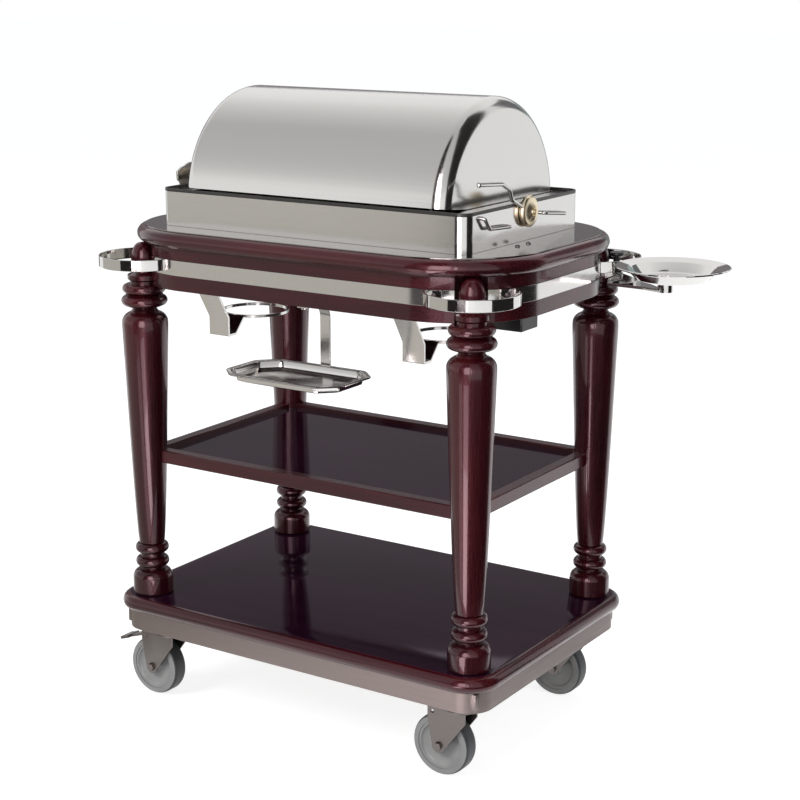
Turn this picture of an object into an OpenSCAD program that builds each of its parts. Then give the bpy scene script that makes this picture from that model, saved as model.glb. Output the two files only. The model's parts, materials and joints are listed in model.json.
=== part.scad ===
// Carving trolley: four turned legs, two shelves, a stainless roll-top tub and swivel casters.
// Millimetres. +Z is up, -Y is the side that faces the carver, +X is the end with the plate holder.

/* [Legs] */
// Distance between leg centres along the length
leg_span_x = 690; // [640:5:760]
// Distance between leg centres across the depth
leg_span_y = 436; // [410:2:470]
// Largest radius of the leg shaft, at its shoulder
leg_r = 41.5; // [38:0.5:44]
// Radius of the leg's foot
foot_r = 37; // [33:0.5:41]
// Smallest radius of the leg shaft, just above the lower rings
ankle_r = 23.5; // [21:0.5:26]
// Height of the leg's shaft and lower rings, from the deck to the neck
leg_neck_h = 540; // [480:5:600]

/* [Base] */
// Diameter of the caster wheels
wheel_d = 110; // [98:1:114]
// Width of the caster tyres
tyre_w = 30; // [24:1:32]
// Clear height under the metal skirt
skirt_z = 142; // [138:1:152]
// Height of the metal skirt
skirt_h = 37; // [34:1:50]
// Thickness of the wooden deck
deck_t = 28; // [22:1:34]
// Distance from the leg centres to the deck's edge
deck_over = 58; // [50:1:70]
// Corner radius of the deck
deck_corner = 60; // [50:1:80]
// How far the skirt stands in from the deck's edge
skirt_in = 14; // [8:1:20]

/* [Middle shelf] */
// Height of the shelf's underside above the floor
shelf_z = 461; // [400:2:560]
// Height of the shelf's frame
shelf_h = 24; // [20:1:34]
// Width of the shelf's frame rails
rail_w = 22; // [18:1:30]

/* [Table top] */
// Height of the apron under the top board
apron_h = 75; // [68:1:90]
// Distance from the leg centres to the apron's end faces
apron_over_x = 53; // [48:1:60]
// Distance from the leg centres to the apron's long faces
apron_over_y = 29; // [25:1:34]
// Corner radius of the apron
apron_corner = 160; // [150:1:168]
// Height of the steel band around the apron
band_h = 27; // [22:1:32]
// Thickness of the top board
board_t = 29; // [24:1:34]
// How far the top board stands out past the apron
board_over = 16; // [10:1:22]

/* [Tub and lid] */
// Length of the steel tub
tub_x = 638; // [612:2:646]
// Height of the tub above the table top
tub_h = 61.5; // [56:0.5:80]
// Outer radius of the roll-top lid
lid_r = 190; // [180:0.5:190.5]
// Length of the roll-top lid
lid_x = 546; // [500:2:550]
// Radius of the lid's rounded end edge
lid_edge = 25; // [12:1:40]
// Sheet thickness of the lid and the tub
sheet = 1.5; // [1:0.1:2]

/* [Fittings] */
// Outer radius of the corner guards around the legs
guard_r = 79; // [74:1:84]
// Height of the corner guards
guard_h = 20; // [14:1:24]
// Radius of the plate dish
dish_r = 98; // [88:1:104]
// Length of the plate holder's arm
arm_len = 189; // [180:1:210]
// Direction of the plate holder's arm, clockwise from +X
arm_turn = 34; // [27:1:42]
// Length of the hanging tray
tray_x = 246; // [200:2:280]
// Depth of the hanging tray, front to back
tray_y = 150; // [120:2:170]
// Height of the hanging tray's rim above the floor
tray_z = 680; // [650:1:700]

/* [Hidden] */
$fn = 64;

lx = leg_span_x / 2;
ly = leg_span_y / 2;
// running clearance of every shaft in its hole
run = 0.05;
// gap left between neighbouring pieces that move past each other
gap = 0.4;

deck_z = skirt_z + skirt_h;
deck_top = deck_z + deck_t;
deck_hx = lx + deck_over;
deck_hy = ly + deck_over;
skirt_hx = deck_hx - skirt_in;
skirt_hy = deck_hy - skirt_in;
skirt_corner = deck_corner - skirt_in;
skirt_t = 3;
caster_pad_z = skirt_z + 9;

shelf_hx = lx + 4;
shelf_hy = ly + 4;

// the turned rings at the foot of the leg
ring_r = 31;

// the turned top of the leg: two beads, a collar and a finial
bead_r = leg_r;
bead_h = 19;
neck_r = 21;
neck_z = leg_neck_h;
bead2_z = neck_z + 5;
bead1_z = bead2_z + bead_h + 4;
bead_top = bead1_z + 17;
apron_z = deck_top + bead_top;
apron_hx = lx + apron_over_x;
apron_hy = ly + apron_over_y;
apron_t = 25;
board_z = apron_z + apron_h;
board_hx = apron_hx + board_over;
board_hy = apron_hy + board_over;
board_corner = apron_corner + board_over - 1;
steel_t = 2;
top_z = board_z + board_t + steel_t;
leg_h = board_z - deck_top;
collar_r = 29;
scallop_r = collar_r + 0.2;
band_z = apron_z + (apron_h - band_h) / 2 + 3;
band_t = 2.5;
band_in = 1.5;

rim_z = top_z + tub_h;
pivot_z = rim_z - 11.5;
seal_h = 5.5;
tub_t = 2;
tub_hx = tub_x / 2;
well_ro = lid_r + 3.4;
well_ri = well_ro - sheet;
tub_hy = well_ro + 0.1 + tub_t;
tub_corner = 22;
well_hx = tub_hx - tub_corner;
cut_hx = well_hx + 2;
cut_hy = well_ro - 4;
lid_hx = lid_x / 2;
pivot_r = 8;
// the lid's front edge stops this many degrees above the pivot's level
lid_start = 6;

guard_t = 3;
guard_z = band_z + band_h - guard_h;

// the pan in the tub, and the carving board across its left part
pan_hx = 254;
pan_hy = 142;
pan_h = 62;
pan_rim_z = pivot_z - 8;
board_x0 = -pan_hx + 4;
board_x1 = 96;

// the hand levers at the ends of the lid's shaft
lever_x = tub_hx + 5.5;
lever_r = 3.5;

// the wire grips: how far they stand out, and the wire's radius
grip_out = 8;
grip_r = 2.7;

// the plate holder turns on a post inside the right rear guard
post_x = lx + 39;
post_y = ly;
post_r = 6;
arm_t = 5;
arm_z = apron_z + 19;
boss_x = arm_len - 49;
boss_y = -97;
dish_z = arm_z + arm_t + 18.5;
dish_h = 24;
dish_x = post_x + arm_len * cos(arm_turn);
dish_y = post_y - arm_len * sin(arm_turn);

// the burner rings
burner_r = 62;

// the hanging tray and its strap
tray_cx = 26;
strap_y = -ly + 43;
tray_cy = strap_y - 6 - tray_y / 2;
tray_h = 15;
tray_clip = 34;
strap_w = 20;
strap_t = 3;

// swivel casters, turned so that all wheels trail to the left
caster_x = lx - 25;
caster_y = ly - 14;
trail = 30;
wheel_r = wheel_d / 2;
crown_z = wheel_d + 13;
crown_t = 4;
fork_in = tyre_w / 2 + 3.5;
fork_t = 3;
axle_r = 4;
king_r = 5;
brake_x = -trail - 12;
brake_z = crown_z - 7;

// the finished trolley is shifted so that its box is centred on the origin
brake_tip = 72 * cos(18) + 3 * sin(18);
left_end = min(-lx - guard_r, brake_x - caster_x - brake_tip);
right_end = dish_x + dish_r;
front_end = min(-ly - guard_r, tray_cy - tray_y / 2);
rear_end = ly + guard_r;
shift_x = -(left_end + right_end) / 2;
shift_y = -(front_end + rear_end) / 2;

wood = [0.23, 0.05, 0.05];
steel = [0.78, 0.78, 0.76];
dark = [0.15, 0.15, 0.16];
brass = [0.72, 0.56, 0.25];

function arc(cx, cz, r, a0, a1, n = 8) =
  [for (i = [0 : n]) [cx + r * cos(a0 + (a1 - a0) * i / n), cz + r * sin(a0 + (a1 - a0) * i / n)]];
function sgx(c) = (c == 0 || c == 2) ? -1 : 1;
function sgy(c) = (c < 2) ? -1 : 1;

// flat shapes --------------------------------------------------------------

// rounded rectangle by half sizes
module rrect(hx, hy, r) {
  square([2 * hx, 2 * (hy - r)], center = true);
  square([2 * (hx - r), 2 * hy], center = true);
  for (sx = [-1, 1], sy = [-1, 1])
    translate([sx * (hx - r), sy * (hy - r)]) circle(r = r, $fn = 128);
}

// a strip of constant thickness along a list of points
module strip(pts, t) {
  for (i = [0 : len(pts) - 2]) {
    d = pts[i + 1] - pts[i];
    translate(pts[i]) rotate(atan2(d[1], d[0])) translate([0, -t / 2]) square([norm(d), t]);
  }
  for (i = [1 : len(pts) - 2])
    translate(pts[i]) circle(d = t, $fn = 32);
}

// solids -------------------------------------------------------------------

module slab(hx, hy, r, t) {
  linear_extrude(t) rrect(hx, hy, r);
}

// board with a half-round edge all the way round
module bullnose(hx, hy, r, t) {
  b = t / 2;
  slab(hx - b, hy - b, r - b, t);
  for (s = [-1, 1]) {
    translate([0, s * (hy - b), b]) rotate([0, 90, 0]) cylinder(h = 2 * (hx - r), r = b, center = true);
    translate([s * (hx - b), 0, b]) rotate([90, 0, 0]) cylinder(h = 2 * (hy - r), r = b, center = true);
  }
  for (k = [0 : 3]) {
    px = (k == 0 || k == 3) ? hx - r : r - hx;
    py = (k < 2) ? hy - r : r - hy;
    translate([px, py, 0]) rotate([0, 0, 90 * k])
      rotate_extrude(angle = 90, $fn = 128) translate([r - b, b]) circle(r = b);
  }
}

// round rod through a list of points
module rod(pts, r) {
  for (i = [0 : len(pts) - 2]) {
    d = pts[i + 1] - pts[i];
    translate(pts[i]) rotate([0, acos(d[2] / norm(d)), atan2(d[1], d[0])])
      cylinder(h = norm(d), r = r, $fn = 32);
  }
  for (i = [1 : 1 : len(pts) - 2])
    translate(pts[i]) sphere(r = r + 0.05, $fn = 32);
}

// a strip in the YZ plane, as wide as w along X and centred on x = 0
module yz_strip(pts, t, w) {
  translate([-w / 2, 0, 0]) rotate([90, 0, 90]) linear_extrude(w) strip(pts, t);
}

module at_leg(c) {
  translate([sgx(c) * lx, sgy(c) * ly, 0]) children();
}

// shaft radius at a share s of the way up from the ankle to the shoulder
function shaft_r(s) = ankle_r + (leg_r - ankle_r) * pow(s, 0.75);

// outline of the turned leg, from its foot on the deck to the finial under the top board
function leg_outline() = concat(
  [[0, 0], [foot_r - 2, 0], [foot_r, 3]],
  arc(foot_r - 16, 30, 16, 0, 90, 6),
  arc(ring_r - 9.5, 60.5, 9.5, -90, 90),
  [[ring_r - 9, 73.5]],
  arc(ring_r - 9.5, 87, 9.5, -90, 90),
  [for (i = [0 : 10]) [shaft_r(i / 10), 98 + (neck_z - 128) * i / 10]],
  arc(leg_r - 20, neck_z - 26, 20, 12, 78, 5),
  [[neck_r, neck_z]],
  arc(bead_r - bead_h / 2, bead2_z + bead_h / 2, bead_h / 2, -90, 90),
  [[bead_r - 8, bead1_z - 2]],
  arc(bead_r - 11, bead1_z + 8.5, 8.5, -90, 90),
  [[25, bead_top], [25, bead_top + 6], [collar_r, bead_top + 9], [collar_r, bead_top + 17]],
  [[19, bead_top + 22], [18, bead_top + 30], [19, bead_top + 38], [22, bead_top + 44]],
  [for (i = [1 : 6]) [5 + 17 * cos(15 * i), bead_top + 44 + (leg_h - bead_top - 44) * sin(15 * i)]],
  [[0, leg_h]]
);
// leg shaft radius at a height above the floor, for the shelf's notches
function leg_r_at(z) = shaft_r((z - deck_top - 98) / (neck_z - 128));

module leg(c) {
  color(wood) at_leg(c) translate([0, 0, deck_top])
    rotate_extrude($fn = 96) polygon(leg_outline());
}

// base -----------------------------------------------------------------------

module deck() {
  color(wood) translate([0, 0, deck_z]) bullnose(deck_hx, deck_hy, deck_corner, deck_t);
}

module skirt() {
  color(steel) translate([0, 0, skirt_z]) {
    difference() {
      slab(skirt_hx, skirt_hy, skirt_corner, skirt_h);
      translate([0, 0, -1]) slab(skirt_hx - skirt_t, skirt_hy - skirt_t, skirt_corner - skirt_t, skirt_h - 2);
    }
    for (c = [0 : 3])
      translate([sgx(c) * caster_x, sgy(c) * caster_y, caster_pad_z - skirt_z + (skirt_h - 9) / 2 - 1])
        cube([118, 96, skirt_h - 11], center = true);
  }
}

// middle shelf -----------------------------------------------------------------

module leg_notches() {
  for (c = [0 : 3])
    at_leg(c) translate([0, 0, shelf_z - 1])
      cylinder(h = shelf_h + 2, r1 = leg_r_at(shelf_z - 1) + 0.15, r2 = leg_r_at(shelf_z + shelf_h + 1) + 0.15, $fn = 96);
}

module shelf_frame() {
  color(wood) difference() {
    translate([0, 0, shelf_z]) linear_extrude(shelf_h) difference() {
      square([2 * shelf_hx, 2 * shelf_hy], center = true);
      square([2 * (shelf_hx - rail_w), 2 * (shelf_hy - rail_w)], center = true);
    }
    leg_notches();
  }
}

module shelf_panel() {
  color(wood) difference() {
    translate([0, 0, shelf_z + 4]) linear_extrude(shelf_h - 13)
      square([2 * (shelf_hx - rail_w), 2 * (shelf_hy - rail_w)], center = true);
    leg_notches();
  }
}

// table top --------------------------------------------------------------------

// the round recesses in which the four legs stand against the apron
module scallops(r) {
  for (c = [0 : 3])
    at_leg(c) translate([0, 0, apron_z - 1]) cylinder(h = apron_h + 2, r = r, $fn = 96);
}

module apron() {
  color(wood) difference() {
    translate([0, 0, apron_z]) slab(apron_hx, apron_hy, apron_corner, apron_h);
    translate([0, 0, apron_z - 1]) slab(apron_hx - apron_t, apron_hy - apron_t, apron_corner - apron_t, apron_h + 2);
    translate([0, 0, band_z]) linear_extrude(band_h) difference() {
      rrect(apron_hx + 2, apron_hy + 2, apron_corner + 2);
      rrect(apron_hx - band_in, apron_hy - band_in, apron_corner - band_in);
    }
    scallops(scallop_r);
  }
}

module steel_band() {
  o = band_t - band_in;
  color(steel) difference() {
    translate([0, 0, band_z]) linear_extrude(band_h) difference() {
      rrect(apron_hx + o, apron_hy + o, apron_corner + o);
      rrect(apron_hx - band_in, apron_hy - band_in, apron_corner - band_in);
    }
    scallops(scallop_r);
  }
}

module top_board() {
  color(wood) difference() {
    translate([0, 0, board_z]) bullnose(board_hx, board_hy, board_corner, board_t);
    translate([-cut_hx, -cut_hy, board_z - 1]) cube([2 * cut_hx, 2 * cut_hy, board_t + 2]);
  }
}

module steel_top() {
  color(steel) difference() {
    translate([0, 0, top_z - steel_t]) slab(board_hx - board_t / 2, board_hy - board_t / 2, board_corner - board_t / 2, steel_t);
    translate([-cut_hx, -cut_hy, top_z - steel_t - 1]) cube([2 * cut_hx, 2 * cut_hy, steel_t + 2]);
  }
}

// the outline of the banded apron, grown by g
module apron_face(g) {
  o = band_t - band_in + g;
  rrect(apron_hx + o, apron_hy + o, apron_corner + o);
}

// steel hoop that stands out around a leg, with two tabs screwed to the band
module guard(c) {
  color(steel) translate([0, 0, guard_z]) linear_extrude(guard_h) {
    difference() {
      translate([sgx(c) * lx, sgy(c) * ly]) difference() {
        circle(r = guard_r, $fn = 128);
        circle(r = guard_r - guard_t, $fn = 128);
      }
      apron_face(0);
    }
    intersection() {
      difference() {
        apron_face(guard_t);
        apron_face(0);
      }
      translate([sgx(c) * lx, sgy(c) * ly]) difference() {
        circle(r = guard_r, $fn = 128);
        circle(r = guard_r - 30, $fn = 128);
      }
    }
  }
}

// place a child on the middle of each guard tab, with +Z pointing out of the band
module at_tabs() {
  ax = apron_hx - apron_corner;
  ay = apron_hy - apron_corner;
  ra = apron_corner + band_t - band_in + guard_t;
  rt = guard_r - 16;
  d = norm([lx - ax, ly - ay]);
  turn = atan2(ly - ay, lx - ax);
  spread = acos((ra * ra + d * d - rt * rt) / (2 * ra * d));
  for (sx = [-1, 1], sy = [-1, 1], k = [-1, 1])
    translate([sx * (ax + ra * cos(turn + k * spread)), sy * (ay + ra * sin(turn + k * spread)), guard_z + guard_h / 2])
      rotate([0, 90, atan2(sy * sin(turn + k * spread), sx * cos(turn + k * spread))]) children();
}

module guard_screws() {
  color(steel) at_tabs() {
    cylinder(h = 1.6, r = 4.5, $fn = 32);
    translate([0, 0, 1.6]) cylinder(h = 1.2, r1 = 4.5, r2 = 2.6, $fn = 32);
  }
}

// tub and well -------------------------------------------------------------------

module tub() {
  color(steel) difference() {
    union() {
      translate([0, 0, top_z]) linear_extrude(tub_h) difference() {
        rrect(tub_hx, tub_hy, tub_corner);
        rrect(tub_hx - tub_t, tub_hy - tub_t, tub_corner - tub_t);
      }
      // level covers between the end walls and the lid
      translate([0, 0, rim_z - sheet]) linear_extrude(sheet) difference() {
        rrect(tub_hx - 1, tub_hy - 1, tub_corner - 1);
        square([2 * (lid_hx + 4), 2 * tub_hy], center = true);
      }
      for (s = [-1, 1])
        translate([s * (tub_hx - 5), 0, pivot_z]) rotate([0, 90, 0])
          cylinder(h = 10, r = 11, center = true);
    }
    translate([0, 0, pivot_z]) rotate([0, 90, 0]) cylinder(h = tub_x + 40, r = pivot_r + run, center = true);
  }
}

// dark strip along the tub's rim, on which no part of the lid rubs
module rim_seal() {
  color(dark) translate([0, 0, rim_z]) linear_extrude(seal_h) difference() {
    rrect(tub_hx + 0.6, tub_hy + 0.6, tub_corner + 0.6);
    rrect(tub_hx - tub_t - 0.6, tub_hy - tub_t - 0.6, tub_corner - tub_t - 0.6);
  }
}

// half-round trough in which the open lid rests
module well() {
  color(steel) difference() {
    translate([0, 0, pivot_z]) rotate([0, 90, 0]) difference() {
      cylinder(h = 2 * well_hx, r = well_ro, center = true, $fn = 128);
      cylinder(h = 2 * (well_hx - sheet), r = well_ri, center = true, $fn = 128);
    }
    translate([-well_hx - 1, -well_ro - 1, pivot_z]) cube([2 * well_hx + 2, 2 * well_ro + 2, well_ro + 1]);
    for (s = [-1, 1])
      translate([s * well_hx - 5, -well_ri + 6, pivot_z - 18]) cube([10, 2 * well_ri - 12, 20]);
  }
}

// small wire grips on the tub's ends, by which it lifts out: posts at their ends and a knuckle at the bend
module tub_grips() {
  g = grip_out;
  r = grip_r + 0.5;
  color(steel) for (s = [-1, 1]) translate([s * tub_hx, 0, pivot_z]) {
    for (p = [[-150, 5], [-65, -18], [54, -9], [128, -18]])
      translate([0, p[0], p[1]]) rotate([0, s * 90, 0]) cylinder(h = g + 3.4, r = r);
    translate([s * (g - 3.2), -134, -14]) rotate([0, s * 90, 0]) cylinder(h = 6.6, r = r);
    rod([[s * g, -150, 5], [s * g, -134, -14]], grip_r);
    rod([[s * g, -134, -14], [s * g, -65, -18]], grip_r);
    rod([[s * g, 54, -9], [s * g, 128, -18]], grip_r);
  }
}

// domed screws that hold the steel top, beside the tub's ends
module top_screws() {
  color(steel) for (s = [-1, 1], y = [-66, -29])
    translate([s * (tub_hx + 22), y, top_z]) {
      cylinder(h = 1.5, r = 4, $fn = 32);
      translate([0, 0, 1.5]) cylinder(h = 1.2, r1 = 4, r2 = 2.2, $fn = 32);
    }
}

// bent strap under the apron that ends in a ring for a spirit burner, below the well
module hanger(s) {
  yi = apron_hy - apron_t - 2;
  yf = apron_hy - 72;
  color(steel) translate([s * 207, 0, 0]) {
    yz_strip([[-yi, apron_z + 52], [-yi, apron_z + 20], [-yf, apron_z - 54], [-yf, apron_z - 86],
      [20 - yf, apron_z - 86], [45 - yf, apron_z - 58]], 4, 43);
    translate([0, 43 - yf + burner_r, apron_z - 61]) difference() {
      cylinder(h = 5, r = burner_r, $fn = 96);
      translate([0, 0, -1]) cylinder(h = 7, r = burner_r - 4, $fn = 96);
    }
  }
}

module underside_block() {
  color(dark) translate([apron_hx - 76, -125, apron_z - 25]) cube([62, 55, 25]);
}

// what the tub holds ---------------------------------------------------------------

// two brackets that stand on the front of the well and carry the pan clear of the lid's path
module pan_carrier() {
  color(steel) for (s = [-1, 1]) translate([s * 200, 0, 0]) {
    translate([-1.5, 0, 0]) rotate([90, 0, 90]) linear_extrude(3) difference() {
      intersection() {
        translate([0, pivot_z]) circle(r = well_ri - 0.1, $fn = 128);
        translate([-well_ri, pivot_z - well_ri]) square([well_ri - 66, well_ri - 12]);
      }
      translate([-pan_hy - 1, pan_rim_z - pan_h - 0.05]) square([pan_hy + 10, pan_h + 20]);
    }
    translate([-14, -pan_hy + 2, pan_rim_z - pan_h - 4.05]) cube([28, 2 * pan_hy - 24, 4]);
  }
}

module food_pan() {
  color(steel) translate([0, 0, pan_rim_z - pan_h]) {
    difference() {
      slab(pan_hx, pan_hy, 18, pan_h);
      translate([0, 0, sheet]) slab(pan_hx - sheet, pan_hy - sheet, 16.5, pan_h);
    }
    translate([0, 0, pan_h - sheet]) linear_extrude(sheet) difference() {
      rrect(pan_hx + 8, pan_hy + 8, 24);
      rrect(pan_hx - sheet, pan_hy - sheet, 16.5);
    }
  }
}

module carving_board() {
  bx = (board_x1 - board_x0) / 2;
  color([0.86, 0.8, 0.66]) translate([(board_x0 + board_x1) / 2, 0, pan_rim_z + 0.05]) difference() {
    slab(bx, pan_hy + 4, 14, 18);
    translate([0, 0, 14]) linear_extrude(10) difference() {
      rrect(bx - 14, pan_hy - 10, 10);
      rrect(bx - 24, pan_hy - 20, 6);
    }
  }
}

module sauce_pans() {
  cx = (board_x1 + pan_hx) / 2 + 1;
  hx = (pan_hx - board_x1) / 2 - 7;
  color(steel) for (s = [-1, 1])
    translate([cx, s * (pan_hy / 2 + 1), pan_rim_z + 0.05]) {
      translate([0, 0, -50]) difference() {
        slab(hx - 5, pan_hy / 2 - 8, 14, 52);
        translate([0, 0, sheet]) slab(hx - 5 - sheet, pan_hy / 2 - 8 - sheet, 12.5, 60);
      }
      linear_extrude(2) difference() {
        rrect(hx, pan_hy / 2 + 0.7, 14);
        rrect(hx - 5 - sheet, pan_hy / 2 - 8 - sheet, 12.5);
      }
    }
}

module sauce_lids() {
  cx = (board_x1 + pan_hx) / 2 + 1;
  hx = (pan_hx - board_x1) / 2 - 7;
  color(steel) for (s = [-1, 1])
    translate([cx, s * (pan_hy / 2 + 1), pan_rim_z + 2.1]) {
      slab(hx - 2, pan_hy / 2 - 2, 13, 2);
      cylinder(h = 12, r = 4);
      translate([0, 0, 10]) cylinder(h = 8, r1 = 8, r2 = 11);
    }
}

// roll-top lid ------------------------------------------------------------------------

// half outline of the lid: a drum with a rounded edge, as radius against distance from the middle
module lid_half(r, h, e) {
  difference() {
    union() {
      square([r, h - e]);
      square([r - e, h]);
      translate([r - e, h - e]) circle(r = e, $fn = 96);
    }
    translate([-e, -2 * e]) square([r + 2 * e, 2 * e]);
    translate([-2 * e - 1, -1]) square([2 * e + 1, h + 2]);
  }
}

module lid_shell() {
  color(steel) difference() {
    union() {
      translate([0, 0, pivot_z]) difference() {
        for (m = [0, 1]) mirror([m, 0, 0]) rotate([0, 90, 0]) rotate([0, 0, 90])
          rotate_extrude(angle = 180 - lid_start, $fn = 128) difference() {
            lid_half(lid_r, lid_hx, lid_edge);
            lid_half(lid_r - sheet, lid_hx - sheet, lid_edge - sheet);
          }
      }
      for (s = [-1, 1])
        translate([s * (lid_hx - 2), 0, pivot_z]) rotate([0, 90, 0]) cylinder(h = 4, r = 22, center = true);
    }
    translate([0, 0, pivot_z]) rotate([0, 90, 0]) cylinder(h = lid_x + 20, r = pivot_r + run, center = true);
  }
}

// pivot shaft from the lid's end wall through the tub's bushing
module lid_shaft(s) {
  translate([s * (lid_hx - 6), 0, pivot_z]) rotate([0, s * 90, 0]) cylinder(h = tub_hx + 10 - lid_hx + 6, r = pivot_r);
}

// the right hand lever is a bent rod
module lid_crank_right() {
  z = pivot_z;
  color(steel) {
    lid_shaft(1);
    rod([[lever_x, 0, z], [lever_x, -58, z + 25], [lever_x, -66, z + 43], [lever_x, -92, z + 55], [lever_x, -165, z + 61]], lever_r);
    translate([lever_x, -165, z + 61]) sphere(r = 4.5, $fn = 32);
  }
}

module paddle(t) {
  translate([-lever_x - t / 2, 0, pivot_z]) rotate([90, 0, 90]) linear_extrude(t)
    polygon([[2, -7], [2, 7], [-60, 24], [-90, 50], [-104, 54], [-131, 47], [-143, 40], [-142, 26], [-133, 14], [-100, 10]]);
}

// the left hand lever is a short flat paddle
module lid_crank_left() {
  color(steel) {
    lid_shaft(-1);
    paddle(4);
  }
}

// round bosses that clamp the hand levers on their shafts
module lid_bosses() {
  color(brass) difference() {
    for (s = [-1, 1])
      translate([s * (tub_hx + 1), 0, pivot_z]) rotate([0, s * 90, 0])
        rotate_extrude() polygon(concat([[0, 0], [25, 0]], arc(22, 5, 5, -45, 90), [[14, 11], [9, 14], [0, 15]]));
    translate([0, 0, pivot_z]) rotate([0, 90, 0]) cylinder(h = 2 * tub_hx + 20.1, r = pivot_r + run, center = true);
    translate([lever_x, 0, pivot_z]) rotate([90 - atan2(25, 58), 0, 0]) cylinder(h = 40, r = lever_r + run, $fn = 32);
    paddle(4.1);
  }
}

// hanging tray ----------------------------------------------------------------------------

module clip_rect(hx, hy, c) {
  polygon([[c - hx, -hy], [hx - c, -hy], [hx, c - hy], [hx, hy - c], [hx - c, hy], [c - hx, hy], [-hx, hy - c], [-hx, c - hy]]);
}

module tray() {
  hx = tray_x / 2;
  hy = tray_y / 2;
  color(steel) translate([tray_cx, tray_cy, tray_z - tray_h]) {
    linear_extrude(1.5) clip_rect(hx - 12, hy - 12, tray_clip - 5);
    linear_extrude(tray_h) difference() {
      clip_rect(hx - 10, hy - 10, tray_clip - 4);
      clip_rect(hx - 12, hy - 12, tray_clip - 5);
    }
    translate([0, 0, tray_h - 2]) linear_extrude(2) difference() {
      clip_rect(hx, hy, tray_clip);
      clip_rect(hx - 12, hy - 12, tray_clip - 5);
    }
  }
}

module tray_strap() {
  yi = -apron_hy + apron_t / 2;
  zb = tray_z - tray_h - strap_t / 2 - 0.05;
  rb = 28;
  pts = concat([[yi - 8, apron_z - strap_t / 2], [strap_y - rb, apron_z - strap_t / 2]],
    [for (a = [75 : -15 : 15]) [strap_y - rb + rb * cos(a), apron_z - strap_t / 2 - rb + rb * sin(a)]],
    [[strap_y, apron_z - strap_t / 2 - rb], [strap_y, zb + 6], [strap_y - 6, zb], [tray_cy - tray_y / 2 + 30, zb]]);
  color(steel) translate([tray_cx, 0, 0]) {
    yz_strip(pts, strap_t, strap_w);
    translate([0, tray_cy, zb - strap_t / 2 - 5]) cylinder(h = 5, r = 9, $fn = 32);
    translate([0, yi, apron_z - strap_t - 3]) cylinder(h = 3, r = 6, $fn = 32);
  }
}

// plate holder ------------------------------------------------------------------------------

// flat bar from the apron, under the guard, that holds the post
module plate_bracket() {
  z0 = arm_z + arm_t + 1;
  h = guard_z - z0 - gap;
  color(steel) difference() {
    union() {
      translate([apron_hx - 42, post_y - 62, z0]) cube([post_x - apron_hx + 52, 12, h]);
      translate([post_x, post_y, z0]) cylinder(h = h, r = 12);
      translate([post_x - 10, post_y - 62, z0]) cube([20, 62, h]);
    }
    translate([0, 0, z0 - 1]) slab(apron_hx + 1.05, apron_hy + 1.05, apron_corner + 1.05, h + 2);
    translate([post_x, post_y, z0 - 1]) cylinder(h = h + 2, r = post_r + run);
  }
}

module plate_post() {
  color(steel) translate([post_x, post_y, 0]) {
    translate([0, 0, arm_z - 2]) cylinder(h = guard_z + guard_h - arm_z + 2, r = post_r);
    translate([0, 0, arm_z - 4.3]) cylinder(h = 4, r = 10);
    translate([0, 0, guard_z + guard_h]) rotate_extrude() polygon(concat([[0, 0], [9, 0]], arc(9, 5, 4, -60, 90), [[0, 9]]));
  }
}

// tapered plate that swings on the post, with a boss and a disc that carry the dish
module plate_arm() {
  color(steel) translate([post_x, post_y, arm_z]) rotate([0, 0, 34 - arm_turn]) difference() {
    union() {
      linear_extrude(arm_t) {
        circle(r = 12.5);
        polygon([[-10, -7], [30, -96], [96, -98], [boss_x, boss_y - 13], [boss_x + 12, boss_y - 3], [boss_x - 8, boss_y + 4], [6, 10]]);
        translate([boss_x, boss_y]) circle(r = 13);
      }
      translate([boss_x, boss_y, arm_t - 1]) cylinder(h = dish_z - arm_z - arm_t - 1, r = 13);
      translate([boss_x, boss_y, dish_z - arm_z - 3.1]) cylinder(h = 3, r = 30);
    }
    translate([0, 0, -1]) cylinder(h = arm_t + 2, r = post_r + run);
  }
}
module plate_dish() {
  t = sheet;
  color(steel) translate([dish_x, dish_y, dish_z]) {
    rotate_extrude($fn = 96) polygon([[0, 0], [dish_r - 38, 0], [dish_r - 20, dish_h - 6], [dish_r, dish_h - 3],
      [dish_r, dish_h - 1.5], [dish_r - 1.5, dish_h], [dish_r - 21.5, dish_h - 6 + t], [dish_r - 39, t], [0, t]]);
  }
}

// casters -----------------------------------------------------------------------------------------

module at_caster(c) {
  translate([sgx(c) * caster_x, sgy(c) * caster_y, 0]) children();
}

module caster_plates() {
  top = caster_pad_z;
  color(steel) for (c = [0 : 3]) at_caster(c) {
    translate([-47, -38, top - 4]) cube([94, 76, 4]);
    translate([0, 0, crown_z + crown_t + 0.3]) cylinder(h = top - crown_z - crown_t - 4.3, r1 = 24, r2 = 30);
    translate([0, 0, crown_z - 8]) cylinder(h = top - crown_z + 4, r = king_r);
    translate([0, 0, crown_z - 8]) cylinder(h = 7.7, r = 9, $fn = 6);
    for (sx = [-1, 1], sy = [-1, 1])
      translate([sx * 38, sy * 29, top - 7]) cylinder(h = 3, r = 5.5, $fn = 6);
  }
}

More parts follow.
